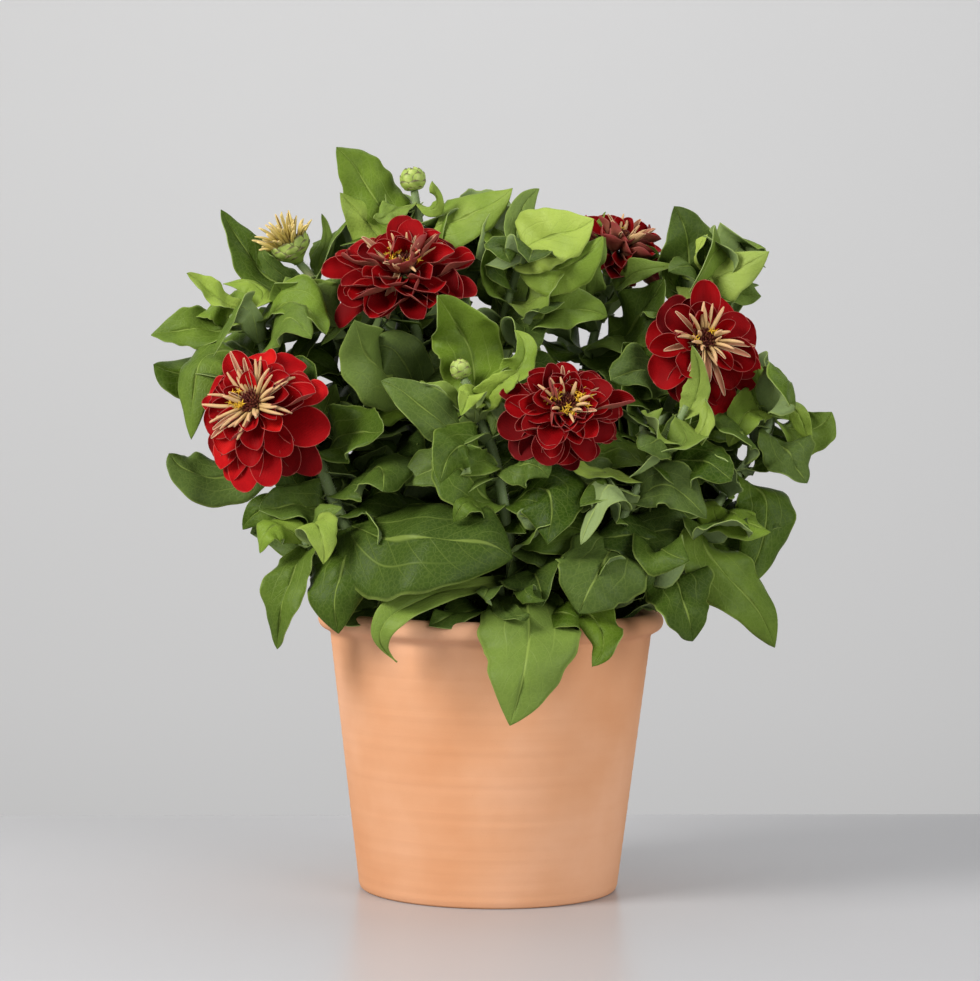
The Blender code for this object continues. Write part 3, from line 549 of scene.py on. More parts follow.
def blade_place(tree):
    """t, v and |v| of the point on its sheet."""
    flat = add(tree, "ShaderNodeUVMap", uv_map="blade").outputs["UV"]
    parts = add(tree, "ShaderNodeSeparateXYZ", {"Vector": flat})
    v = calc(tree, "MULTIPLY_ADD", parts.outputs["Y"], 2.0, -1.0)
    return parts.outputs["X"], v, calc(tree, "ABSOLUTE", v)


def dress(tree, shader, colour, height, strength, distance, sunk=False):
    """Gives the shader its colour and a relief: the height stands out by the distance, or is sunk."""
    tree.links.new(colour, shader.inputs["Base Color"])
    inputs = {"Height": height, "Strength": strength, "Distance": distance}
    relief = add(tree, "ShaderNodeBump", inputs, invert=sunk)
    tree.links.new(relief.outputs["Normal"], shader.inputs["Normal"])


def leaf_veins(tree):
    """Midrib, two long nerves from the base, side veins that lean towards the tip, and a fine net.
    Returns the clear veins and the net, each from 0 to 1."""
    t, v, across = blade_place(tree)
    middle = fade(tree, across, 0.045, 0.012)
    # the nerves leave the midrib at the base and run at half the width: v = 0.5 (1 - e^-7t)
    run = calc(tree, "SUBTRACT", 1.0, calc(tree, "EXPONENT", calc(tree, "MULTIPLY", t, -7.0)))
    off = calc(tree, "ABSOLUTE", calc(tree, "SUBTRACT", across, calc(tree, "MULTIPLY", run, 0.5)))
    nerve = calc(tree, "MULTIPLY", fade(tree, off, 0.03, 0.006), fade(tree, t, 0.9, 0.3))
    # side veins lie where 8t - 2.6|v| is a whole number, and are staggered on the two halves
    lean = calc(tree, "MULTIPLY_ADD", across, -2.6, calc(tree, "MULTIPLY", t, 8.0))
    count = calc(tree, "MULTIPLY_ADD", calc(tree, "SIGN", v), 0.22, lean)
    saw = calc(tree, "ABSOLUTE", calc(tree, "SUBTRACT", calc(tree, "FRACT", count), 0.5))
    side = calc(tree, "MULTIPLY", fade(tree, saw, 0.05, 0.0), fade(tree, across, 0.95, 0.5))
    strong = calc(tree, "MAXIMUM", middle, calc(tree, "MULTIPLY", nerve, 0.55))
    strong = calc(tree, "MAXIMUM", strong, calc(tree, "MULTIPLY", side, 0.40))
    place = add(tree, "ShaderNodeTexCoord").outputs["Object"]
    cells = add(tree, "ShaderNodeTexVoronoi", {"Vector": place, "Scale": 420.0}, feature="DISTANCE_TO_EDGE")
    net = fade(tree, cells.outputs["Distance"], 0.16, 0.0)
    return strong, net


LEAF_TINTS = [
    (0.0, (0.017, 0.039, 0.002)), (0.25, (0.046, 0.085, 0.005)), (0.5, (0.152, 0.235, 0.023)),
    (0.75, (0.35, 0.45, 0.078)), (1.0, (0.50, 0.60, 0.12)),
]
GREY_GREEN = (0.140, 0.190, 0.064)
VEIN_PALE = (0.31, 0.40, 0.085)


def leaf_finish(name, underside):
    """Each blade's own tint and greyness in soft patches, lighter at its base, with pale veins that
    are sunk into the upper side and stand out on the underside."""
    made, tree, shader = new_finish(name, 0.62 if underside else 0.45, Specular_IOR_Level=0.09)
    patches = calc(tree, "SUBTRACT", noise(tree, 55.0), 0.5)
    shifted = calc(tree, "MULTIPLY_ADD", patches, 0.30, mark(tree, "tint"))
    t, _, across = blade_place(tree)
    shifted = calc(tree, "MULTIPLY_ADD", fade(tree, t, 0.35, 0.0), 0.10, shifted)
    green = ramp(tree, shifted, LEAF_TINTS)
    green = blend(tree, mark(tree, "grey"), green, GREY_GREEN)
    if underside:
        green = blend(tree, 0.5, green, (0.27, 0.35, 0.16))
    strong, net = leaf_veins(tree)
    veins = calc(tree, "MAXIMUM", calc(tree, "MULTIPLY", strong, 0.43), calc(tree, "MULTIPLY", net, 0.07))
    rim = calc(tree, "MULTIPLY", fade(tree, across, 0.93, 0.99), 0.4)
    veins = calc(tree, "MAXIMUM", veins, rim)
    green = blend(tree, veins, green, VEIN_PALE)
    height = calc(tree, "MAXIMUM", strong, calc(tree, "MULTIPLY", net, 0.20))
    dress(tree, shader, green, height, 0.6, 0.0006, not underside)
    return made


def soft_finish(name, colour, roughness=0.5, scale=300.0, dark=0.75, **constants):
    """One colour that drifts in soft spots to a darker shade of itself."""
    made, tree, shader = new_finish(name, roughness, **constants)
    darker = tuple(dark * share for share in colour)
    tree.links.new(blend(tree, noise(tree, scale, 2.0), darker, colour), shader.inputs["Base Color"])
    return made


def petal_finish():
    """Velvet red, a little darker at the base as painted shade where the petals overlap, with fine
    lengthwise lines and a paler rim.
    """
    made, tree, shader = new_finish(
        "petal_velvet", 0.6, Sheen_Weight=0.03, Sheen_Roughness=0.4, Sheen_Tint=(1.0, 0.1, 0.1, 1.0),
        Specular_IOR_Level=0.06)
    t, _, across = blade_place(tree)
    lines = calc(tree, "SINE", calc(tree, "MULTIPLY", mark(tree, "across"), 9.0))
    shade = calc(tree, "MULTIPLY_ADD", noise(tree, 90.0), 0.5, mark(tree, "shade"))
    shade = calc(tree, "MULTIPLY_ADD", lines, 0.05, shade)
    # painted shade: each petal is darker towards its base, where the petals over it shade it
    shade = calc(tree, "MULTIPLY_ADD", fade(tree, t, 0.0, 0.45), 0.3, calc(tree, "SUBTRACT", shade, 0.4))
    red = ramp(tree, shade, [(0.0, (0.045, 0.0002, 0.001)), (0.45, (0.17, 0.0008, 0.002)),
                             (0.8, (0.35, 0.002, 0.004)), (1.0, (0.58, 0.010, 0.008))])
    rim = calc(tree, "MAXIMUM", fade(tree, across, 0.95, 1.0), fade(tree, t, 0.975, 1.0))
    red = blend(tree, calc(tree, "MULTIPLY", rim, 0.4), red, (0.62, 0.17, 0.13))
    dress(tree, shader, red, lines, 0.25, 0.0002)
    return made


def petal_back_finish(name, low, middle, high):
    """The dull back of a petal: one colour at its base, running to another at its tip."""
    made, tree, shader = new_finish(name, 0.7)
    t, _, _ = blade_place(tree)
    lines = calc(tree, "SINE", calc(tree, "MULTIPLY", mark(tree, "across"), 11.0))
    place = calc(tree, "MULTIPLY_ADD", noise(tree, 130.0), 0.3, calc(tree, "SUBTRACT", t, 0.15))
    colour = ramp(tree, place, [(0.0, low), (0.5, middle), (1.0, high)])
    dark = blend(tree, calc(tree, "MULTIPLY_ADD", lines, 0.08, 0.1), colour, tuple(0.4 * c for c in low))
    dress(tree, shader, dark, lines, 0.3, 0.0002)
    return made


def mottled_finish(name, colours, scale, roughness, bump=0.4, distance=0.0004):
    """A finish that drifts between three colours in soft spots, with a grain of the same size."""
    made, tree, shader = new_finish(name, roughness)
    spots = noise(tree, scale, 4.0)
    colour = ramp(tree, spots, list(zip((0.3, 0.5, 0.7), colours)))
    dress(tree, shader, colour, spots, bump, distance)
    return made


def bract_finish():
    """Pale yellow-green, each scale a little different, with a brown rim at its tip and a darker foot that
    is painted shade where the scales overlap.
    """
    made, tree, shader = new_finish("bract_green", 0.55)
    t, _, across = blade_place(tree)
    spots = noise(tree, 250.0, 4.0)
    green = ramp(tree, spots, [(0.3, (0.20, 0.29, 0.04)), (0.5, (0.33, 0.43, 0.08)),
                               (0.7, (0.48, 0.56, 0.16))])
    # painted shade: the foot of each scale runs to dark green, where the scale over it shades it
    foot = calc(tree, "MULTIPLY", fade(tree, t, 0.45, 0.0), 0.7)
    green = blend(tree, foot, green, (0.09, 0.14, 0.02))
    outer = calc(tree, "MAXIMUM", t, calc(tree, "MULTIPLY", across, 0.97))
    near_tip = calc(tree, "MULTIPLY", fade(tree, t, 0.25, 0.7), 0.85)
    rim = calc(tree, "MULTIPLY", fade(tree, outer, 0.76, 0.93), near_tip)
    green = blend(tree, rim, green, (0.075, 0.045, 0.02))
    dress(tree, shader, green, spots, 0.4, 0.0003)
    return made


def clay_finish():
    """Matt fired clay: warm orange with a pale bloom, faint rings from the wheel and fine grit."""
    made, tree, shader = new_finish("terracotta", 0.88, Specular_IOR_Level=0.25)
    place = add(tree, "ShaderNodeTexCoord").outputs["Object"]
    flat = add(tree, "ShaderNodeMapping", {"Vector": place, "Scale": (6.0, 6.0, 260.0)})
    rings = noise(tree, 1.0, 3.0, flat.outputs["Vector"])
    cloud = noise(tree, 14.0, 4.0)
    grit = noise(tree, 2200.0, 2.0)
    clay = ramp(tree, cloud, [(0.3, (0.65, 0.295, 0.138)), (0.5, (0.70, 0.350, 0.186)),
                              (0.72, (0.76, 0.415, 0.250))])
    ring_share = calc(tree, "MULTIPLY", fade(tree, rings, 0.45, 0.75), 0.09)
    clay = blend(tree, ring_share, clay, (0.66, 0.30, 0.15))
    grit_share = calc(tree, "MULTIPLY", fade(tree, grit, 0.62, 0.75), 0.25)
    clay = blend(tree, grit_share, clay, (0.50, 0.22, 0.11))
    dress(tree, shader, clay, calc(tree, "MULTIPLY_ADD", grit, 0.25, rings), 0.35, 0.0003)
    return made


def stem_finish():
    """Pale green with a fine grain and a reddish flush in places."""
    made, tree, shader = new_finish("stem_skin", 0.6)
    flush = noise(tree, 30.0)
    green = ramp(tree, flush, [(0.3, (0.11, 0.17, 0.045)), (0.6, (0.19, 0.27, 0.09)),
                               (0.8, (0.25, 0.24, 0.10))])
    grain = noise(tree, 500.0, 2.0)
    green = blend(tree, calc(tree, "MULTIPLY", grain, 0.35), green, (0.30, 0.38, 0.18))
    dress(tree, shader, green, grain, 0.4, 0.0004)
    return made


FINISH = {
    "leaf": leaf_finish("leaf_upper", False),
    "leaf_back": leaf_finish("leaf_underside", True),
    "leaf_edge": soft_finish("leaf_margin", (0.27, 0.36, 0.09)),
    "petal": petal_finish(),
    "petal_back": petal_back_finish("petal_back", (0.20, 0.11, 0.045), (0.30, 0.09, 0.05),
                                    (0.26, 0.018, 0.018)),
    "petal_edge": soft_finish("petal_margin", (0.46, 0.10, 0.08)),
    "quill": petal_back_finish("quill_cream", (0.40, 0.25, 0.07), (0.62, 0.41, 0.18), (0.62, 0.35, 0.18)),
    "quill_inside": petal_back_finish("quill_inside", (0.42, 0.24, 0.10), (0.50, 0.22, 0.12),
                                      (0.52, 0.20, 0.12)),
    "quill_edge": soft_finish("quill_edge", (0.70, 0.52, 0.30)),
    "star": mottled_finish(
        "floret_yellow", ((0.70, 0.36, 0.01), (0.85, 0.52, 0.02), (0.90, 0.62, 0.05)), 400.0, 0.6),
    "centre": mottled_finish(
        "centre_scales", ((0.07, 0.008, 0.006), (0.16, 0.02, 0.012), (0.30, 0.10, 0.03)), 500.0, 0.7),
    "clay": clay_finish(),
    "mix": mottled_finish(
        "potting_mix", ((0.012, 0.008, 0.005), (0.035, 0.022, 0.013), (0.08, 0.055, 0.035)), 500.0, 0.95,
        1.0, 0.001),
    "stem": stem_finish(),
    "hair": soft_finish("stem_hair", (0.55, 0.60, 0.42), 0.8),
    "bract": bract_finish(),
    "bract_edge": soft_finish("bract_edge", (0.06, 0.035, 0.02)),
    "seed": petal_back_finish("faded_floret", (0.14, 0.09, 0.02), (0.58, 0.44, 0.09), (0.80, 0.62, 0.24)),
}


# Leaves -----------------------------------------------------------------------------------------

# Where the columns of half a blade stand, from the midrib (0) to the margin (1)
HALF_V = np.array([0.045, 0.12, 0.25, 0.40, 0.55, 0.70, 0.86, 1.0])
HALF_V_COARSE = np.array([0.06, 0.25, 0.50, 0.78, 1.0])


def blade_grid(rows, half):
    """t down the rows and v along the columns, closer together beside the midrib."""
    return np.linspace(0.0, 1.0, rows)[:, None], np.concatenate([-half[::-1], [0.0], half])[None, :]


FINE = blade_grid(41, HALF_V)
COARSE = blade_grid(25, HALF_V_COARSE)
LEAF_BREADTH = 1.16  # how much broader every blade is than its width in the tables
rng = np.random.default_rng(20)


def leaf_outline(t):
    """Half width as a share of the widest: a broad clasping base, the widest part at four tenths,
    and a pointed tip."""
    return np.maximum(((t + 0.12) / 0.54) ** 0.79 * ((1 - t + 1e-6) / 0.58) ** 0.80, 0.012)


def form_of(marks):
    """The blade's form: fold along the midrib, wave of the margins, how many waves, twist in
    radians, curl of the tip (up is positive), share of grey, where the waves start, how far the
    midrib swings to one side and how uneven the outline is. What isn't given is drawn."""
    form = {
        "fold": rng.uniform(-0.36, 0.42),
        "wave": rng.uniform(0.20, 0.42),
        "waves": rng.uniform(1.2, 2.3),
        "twist": rng.normal(0.0, 0.45),
        "curl": rng.normal(-0.1, 0.4),
        "grey": rng.uniform(0.0, 0.45) ** 1.4,
        "phase": rng.uniform(0.0, 1.0),
        "lean": rng.normal(0.0, 0.05),
    }
    form.update(marks)
    form.setdefault("uneven", 0.4 + 0.9 * form["phase"])
    form["curl"] = min(max(form["curl"], -0.6), 0.6)
    return form


def blade(node, up, radius, across, plan, grid):
    """One blade. The midrib is the parabola through base, middle and tip, bent at its end by the
    curl and swung to one side by the lean. Across it, a point stands at v times the outline, which
    runs in and out a little. It is lifted by the fold (a rounded V), by the margin's wave
    |v|^1.6 sin(waves t) with a finer crimp on it, by a slow swell of each half, and lowered by a
    groove along the midrib and the side veins. Over its first seventh the blade changes into an arc
    that clasps the stem."""
    middle, tip, width, faces, tint, *marks = plan
    form = form_of(marks[0] if marks else {})
    base = node + across * radius
    middle, tip = np.array(middle, float) * MM, np.array(tip, float) * MM
    t, v = grid
    rib = base * (1 - t) * (1 - 2 * t) + 4 * middle * t * (1 - t) + tip * t * (2 * t - 1)
    forward = unit(base * (4 * t - 3) + middle * (4 - 8 * t) + tip * (4 * t - 1))
    free_share = np.minimum(t / 0.3, 1.0)
    upper = up * (1 - free_share) + unit(np.array(faces, float)) * free_share
    side = unit(np.cross(forward, upper))
    upper = np.cross(side, forward)
    length = np.linalg.norm(tip - base)
    swing = length * form["lean"] * np.sin(math.pi * t * 1.6)
    rib = rib + side * swing + upper * (form["curl"] * length * np.maximum(t - 0.55, 0) ** 2 * 1.6)
    angle = form["twist"] * smooth((t - 0.15) / 0.85)
    side, upper = side * np.cos(angle) + upper * np.sin(angle), upper * np.cos(angle) - side * np.sin(angle)
    half = 0.5 * width * LEAF_BREADTH * MM * leaf_outline(t)
    reach = np.abs(v)
    part = form["phase"] + 0.37 * (v > 0)
    margin = np.sin(2 * math.pi * (form["waves"] * t + part))
    wave = form["wave"] * margin * reach**1.6 * smooth(t / 0.2)
    crimp = 0.035 * np.sin(2 * math.pi * (5.3 * t + 2.1 * form["phase"] + 0.2 * (v > 0))) * reach**4
    lift = half * (form["fold"] * reach**1.3 - 0.10 * reach**4 + wave + crimp)
    veins = 0.5 + 0.5 * np.cos(2 * math.pi * (8 * t - 2.6 * reach + 0.22 * np.sign(v)))
    groove = np.exp(-((v / 0.07) ** 2)) + 0.55 * veins**3 * (1 - reach) * smooth(t / 0.1)
    lift = lift - 0.0006 * groove * np.minimum(half / 0.008, 1.0)
    uneven = 0.05 * np.sin(2 * math.pi * (2.7 * t + 3 * part))
    uneven = uneven + 0.03 * np.sin(2 * math.pi * (6.3 * t + 5 * part))
    swell = 0.07 * np.sin(2 * math.pi * (2.4 * t + 2 * part))
    lift = lift + half * swell * (1 - reach**2) * smooth(t / 0.2)
    out = half * v * (1 - 0.5 * (form["fold"] * reach) ** 2) * (1 + 0.03 * margin + form["uneven"] * uneven)
    free = rib[:, None] + side[:, None] * out[..., None] + upper[:, None] * lift[..., None]
    bend = 1.9 * v
    arc = np.cos(bend)[..., None] * across + np.sin(bend)[..., None] * np.cross(across, up)
    clasp = node + radius * 1.12 * arc + up * (0.0015 * v**2)[..., None]
    grip = smooth(t / 0.14)[..., None]
    surface = clasp * (1 - grip) + free * grip
    return sheets(surface[None], t[None], v[None], half[None], tint=tint, grey=form["grey"])


def leaves_at(shoot, station, plans, grid=FINE):
    """The blades that clasp the shoot at one station, the first two opposite each other."""
    points = shoot_points(shoot)
    node = along(points, station)[0]
    up = heading(points, station)
    radius = float(shoot_radius(shoot, station)) + 0.0004
    middles = [np.array(plan[0], float) * MM for plan in plans]
    reach = middles[0] - (middles[1] if len(plans) > 1 else node)
    across = unit(reach - up * np.dot(reach, up))
    parts = []
    for order, plan in enumerate(plans):
        side = across if order % 2 == 0 else -across
        parts.append(blade(node, up, radius * (1 + 0.12 * order), side, plan, grid))
    return joined(parts)


def leaf_piece(name, surface, replaced=()):
    finishes = [FINISH["leaf"], FINISH["leaf_back"], FINISH["leaf_edge"]]
    made = make_piece(name, surface, finishes, replaced)
    thicken(made, "leaf")


def make_leaf_pairs():
    for name, (shoot, station, first, second) in LEAF_PAIRS.items():
        surface = leaves_at(shoot, station, (first, second))
        leaf_piece("leaves_" + name[-2:], surface, [name])


def make_small_leaves():
    parts = [leaves_at(shoot, station, plans) for shoot, station, plans in SMALL_LEAVES]
    leaf_piece("small_leaves", joined(parts))


# Inner leaves: shoot, first and last station, how many pairs
INNER_LEAVES = [
    ("left", 1.6, 7.0, 11), ("left_top", 0.6, 3.9, 12), ("left_far", 0.6, 4.2, 10),
    ("middle", 1.5, 5.7, 16), ("crown", 0.6, 3.4, 10), ("front", 1.0, 4.2, 6), ("heart", 0.6, 4.2, 12),
    ("back", 0.5, 2.9, 9), ("right", 1.6, 6.6, 15), ("centre_front", 0.5, 3.2, 8),
    ("right_front", 0.6, 4.9, 9), ("right_low", 0.6, 5.5, 12), ("right_back", 0.4, 3.5, 9),
    ("top_right", 0.4, 3.6, 12), ("back_right", 0.5, 2.9, 9),
]
SHORTEST = 27  # millimetres: an inner leaf that would be shorter is left out
# The lowest and highest X, Y and Z, in millimetres, of the space the inner leaves stay in
LEAF_ROOM = np.array([(-160, -88, 128), (156, 112, 348)], float)


def clear_places():
    """Where a bloom, a bud or the seed head stands, and the room round it, in millimetres."""
    places = [(shoot_points(shoot)[-1] / MM + 14 * unit(np.array(axis)), 36)
              for shoot, axis in BLOOM_AXES.values()]
    places += [(shoot_points(shoot)[-1] / MM, 16) for shoot, _, _ in BUDS.values()]
    places += [(shoot_points(SEED_HEAD[0])[-1] / MM, 22)]
    return places


HEAD_PLACES = clear_places()


def hides_head(place):
    """Whether a point stands in front of a head, or less than 12 mm behind it, within its room."""
    return any(np.hypot(place[0] - head[0], place[2] - head[2]) < room and place[1] < head[1] + 12
               for head, room in HEAD_PLACES)


def inner_blade(node, way):
    """The plan of a blade that rises from the stem and arches over, its upper side turned outwards
    from the plant's middle. Higher up the blades are shorter and lighter. Near the plant's middle
    their tint is darker, which is painted shade."""
    behind = smooth((way[1] * 40 + node[1]) / 60)
    high = smooth((node[2] - 190) / 110)
    length = rng.uniform(38, 54) + 10 * behind - 9 * high
    rise = rng.uniform(0.05, 0.6) * length * (0.5 + 0.8 * high)
    bow = rng.normal(0, 0.1) * np.array((-way[1], way[0], 0.0)) * length
    middle = node + way * length * 0.52 + (0, 0, rise * 0.9) + bow
    tip = node + way * length + (0, 0, rise * rng.uniform(-0.6, 1.0))
    middle = np.clip(middle, LEAF_ROOM[0] + (10, 12, 4), LEAF_ROOM[1] - (10, 10, 4))
    tip = np.clip(tip, *LEAF_ROOM)
    # painted shade: blades near the plant's middle get a darker tint, as if shaded by the leaves round them
    painted_inner_shade = 1 - smooth(np.hypot(middle[0] * 0.6, middle[1]) / 55)
    tint = rng.uniform(0.0, 0.30) - 0.14 * painted_inner_shade + 0.08 * behind + 0.24 * high * rng.uniform(0.3, 1.0)
    outwards = unit(np.array((middle[0] * 0.35, middle[1] - 18.0, 0.0)) + rng.normal(0, 12, 3) * (1, 1, 0))
    faces = outwards * rng.uniform(0.7, 1.3) + (0, 0, 0.6)
    marks = dict(fold=rng.uniform(-0.4, 0.4), wave=rng.uniform(0.12, 0.36), waves=rng.uniform(1.0, 2.0))
    length = min(length, np.linalg.norm(tip - node))
    return middle, tip, length * rng.uniform(0.48, 0.62), faces, tint, marks


def make_inner_leaves():
    """Pairs that fill the plant: each pair stands square to the one below it on its shoot."""
    parts = []
    for shoot, first, last, pairs in INNER_LEAVES:
        points = shoot_points(shoot)
        turn = rng.uniform(0, math.pi)
        for station in np.linspace(first, last, pairs):
            node = along(points, station)[0] / MM
            turn += math.pi / 2 + rng.normal(0, 0.25)
            ways = [np.array((math.cos(turn + flip), math.sin(turn + flip), 0.0))
                    for flip in (0.0, math.pi)]
            drawn = [inner_blade(node, way) for way in ways]
            plans = [plan for plan in drawn
                     if np.linalg.norm(plan[1] - node) >= SHORTEST
                     and not hides_head(plan[0]) and not hides_head(plan[1])]
            for plan in plans:
                # above 250 mm the plant narrows on its right side
                tip = plan[1]
                tip[0] = min(tip[0], LEAF_ROOM[1][0] - 1.2 * max(tip[2] - 250.0, 0.0))
            if plans:
                parts.append(leaves_at(shoot, station, plans, COARSE))
    names = ("left", "crown", "middle", "right", "far_right")
    for name, chosen in zip(names, np.array_split(np.arange(len(parts)), len(names))):
        leaf_piece("inner_leaves_" + name, joined([parts[k] for k in chosen]))


# Stems ------------------------------------------------------------------------------------------

STEM_SIDES = 16
HAIR_RADIUS = 0.00009  # metres


def tube(centres, radii, sides=STEM_SIDES):
    """A closed tube: circles round the centres, square to the path, and a point at both ends."""
    across, other = square_to(unit(np.gradient(centres, axis=0)))
    angles = 2 * math.pi * np.arange(sides) / sides
    ring = turned(angles[None], across[:, None], other[:, None])
    points = centres[:, None] + radii[:, None, None] * ring
    count = len(centres)
    ends = np.vstack([centres[0], centres[-1]])
    body = grid_faces(count, sides, closed=True)
    k = np.arange(sides)
    low = np.stack([np.full(sides, count * sides), (k + 1) % sides, k], -1)
    last = (count - 1) * sides
    high = np.stack([np.full(sides, count * sides + 1), last + k, last + (k + 1) % sides], -1)
    return {"points": np.vstack([points.reshape(-1, 3), ends]), "faces": [body, low, high]}


def shoot_path(name):
    """Centres and radii along a shoot, with a slight swelling at each leaf node."""
    points = shoot_points(name)
    last = len(points) - 1
    stations = np.linspace(0, last, 12 * last + 1)
    centres = along(points, stations)
    if SHOOTS[name][0] is None:
        centres[:, 2] = np.maximum(centres[:, 2], (MIX_TOP - 13.6) * MM)
    radii = shoot_radius(name, stations)
    for shoot, station, *_ in LEAF_PAIRS.values():
        if shoot == name:
            radii = radii * (1 + 0.10 * np.exp(-(((stations - station) / 0.12) ** 2)))
    return centres, radii


def make_stems():
    hairs = []
    for plant, shoots in PLANTS.items():
        parts = []
        for name in shoots:
            centres, radii = shoot_path(name)
            parts.append(tube(centres, radii))
            hairs.append(hairs_on(centres, radii))
        make_piece(plant.replace("stem_", "stems_"), joined(parts), [FINISH["stem"]], [plant])
    make_piece("stem_hairs", joined(hairs), [FINISH["hair"]])


def hairs_on(centres, radii):
    """Short stiff hairs: thin three-sided spikes that stand out from the stem and lean upwards."""
    count = 9 * len(centres)
    pick = rng.integers(2, len(centres) - 1, count)
    path = unit(np.gradient(centres, axis=0))[pick]
    across, other = square_to(path)
    out = turned(rng.uniform(0, 2 * math.pi, count), across, other)
    shift = rng.uniform(0, 1, count)[:, None] * (centres[pick] - centres[pick - 1])
    foot = centres[pick] - shift + out * (radii[pick, None] - 0.0001)
    tip = foot + (out + 0.35 * path) * rng.uniform(0.0008, 0.0016, count)[:, None]
    corners = 2 * math.pi * np.arange(3) / 3
    base = foot[:, None] + HAIR_RADIUS * turned(corners[None], path[:, None], np.cross(out, path)[:, None])
    points = np.concatenate([base, tip[:, None]], axis=1)
    one = np.array([[0, 1, 3], [1, 2, 3], [2, 0, 3], [0, 2, 1]])
    return {"points": points.reshape(-1, 3), "faces": [repeated(one, count, 4)]}


# Heads ------------------------------------------------------------------------------------------


def head_frame(shoot, axis):
    """Origin, right, upwards and axis of a head: seen from in front, right and upwards are the
    viewer's, and angles run from right over upwards."""
    axis = unit(np.array(axis, float))
    right = unit(np.cross((0.0, 0.0, 1.0), axis))
    return shoot_points(shoot)[-1], right, np.cross(axis, right), axis


def column(value, count):
    """A value for each petal, shaped to spread over its grid."""
    return np.broadcast_to(np.asarray(value, float), (count,))[:, None, None]


def middle_lines(head, count, t, angle, length, rise, turn, start, height):
    """The middle lines of a stack of petals that leave the axis at the start radius and the height,
    with the direction round the axis and the upper side at each of their points. Each is the sum
    of (cos e, sin e) with e = rise + turn t."""
    origin, right, upwards, axis = head
    bend = np.radians(column(rise, count) + column(turn, count) * t)
    step = np.diff(t, axis=1, prepend=0.0)
    out = np.cumsum(np.cos(bend) * step, axis=1) * length + column(start, count) * MM
    high = np.cumsum(np.sin(bend) * step, axis=1) * length + column(height, count) * MM
    radial = turned(column(np.radians(angle), count), right, upwards)
    upper = np.cos(bend)[..., None] * axis - np.sin(bend)[..., None] * radial
    return origin + out[..., None] * radial + high[..., None] * axis, np.cross(radial, axis), upper


def petals(head, angle, length, width, rise, turn, cup, start, height, **looks):
    """Petals as a stack of grids, on their middle lines: each rises above the flower's plane and
    bends by the turn over its length. Its half width swells from a narrow claw up to t = 0.6, and
    from its widest place it closes as an ellipse. Across, it is lifted by cup v^2 and by a ripple of
    its margin. Lengths are millimetres and angles degrees."""
    count = len(angle)
    s = np.linspace(0, 1, looks.get("rows", 15))
    t = (1 - (1 - s) ** 1.5)[None, :, None]
    v = np.sin(np.linspace(-1, 1, looks.get("columns", 9)) * math.pi / 2)[None, None, :]
    length = column(length, count) * MM
    claw = looks.get("claw", 0.34)
    swell = claw + (1 - claw) * smooth(t / 0.6)
    widest = looks.get("widest", 0.66)
    shut = np.sqrt(np.maximum(1 - (np.maximum(t - widest, 0) / (1 - widest)) ** 2, 0.0004))
    half = 0.5 * column(width, count) * MM * swell * shut
    twist = np.radians(column(looks.get("twist", 0.0), count)) * t
    drift = length * column(looks.get("drift", 0.0), count) * t**2
    phase = column(looks.get("phase", 0.0), count)
    cups = column(cup, count)
    waves = np.sin(2 * math.pi * (1.7 * t + phase + 0.4 * (v > 0)))
    ripple = column(looks.get("ripple", 0.06), count) * waves
    lift = half * (cups * v**2 + ripple * np.abs(v) ** 1.5)
    flat = half * v / np.sqrt(1 + (cups * v) ** 2)
    side_way = flat * np.cos(twist) - lift * np.sin(twist)
    up_way = lift * np.cos(twist) + flat * np.sin(twist)
    line, around, upper = middle_lines(head, count, t, angle, length, rise, turn, start, height)
    points = line + (side_way + drift)[..., None] * around + up_way[..., None] * upper
    return sheets(points, t, v, half, shade=column(looks.get("shade", 0.5), count))


def quills(head, angle, length, width, rise, turn, start, height, **looks):
    """Petals rolled into slim tubes: across, the sheet follows an arc of a circle whose radius is half
    the width and narrows to both ends. The seam may be turned round the tube."""
    count = len(angle)
    t = np.linspace(0, 1, 11)[None, :, None]
    v = np.linspace(-1, 1, 9)[None, None, :]
    length = column(length, count) * MM
    radius = 0.5 * column(width, count) * MM * (0.55 + 0.45 * np.sin(math.pi * (0.1 + 0.75 * t)))
    radius = radius * (1 - 0.75 * t**8)
    wrap = np.radians(looks.get("wrap", 168.0)) * (1 - 0.3 * t**4) * v
    seam = np.radians(column(looks.get("seam", 0.0), count))
    drift = length * column(looks.get("drift", 0.0), count) * t**2
    line, around, upper = middle_lines(head, count, t, angle, length, rise, turn, start, height)
    points = (line + (radius * np.sin(wrap + seam) + drift)[..., None] * around
              + (radius * (1 - np.cos(wrap + seam)))[..., None] * upper)
    return sheets(points, t, v, radius, shade=column(0.5, count))


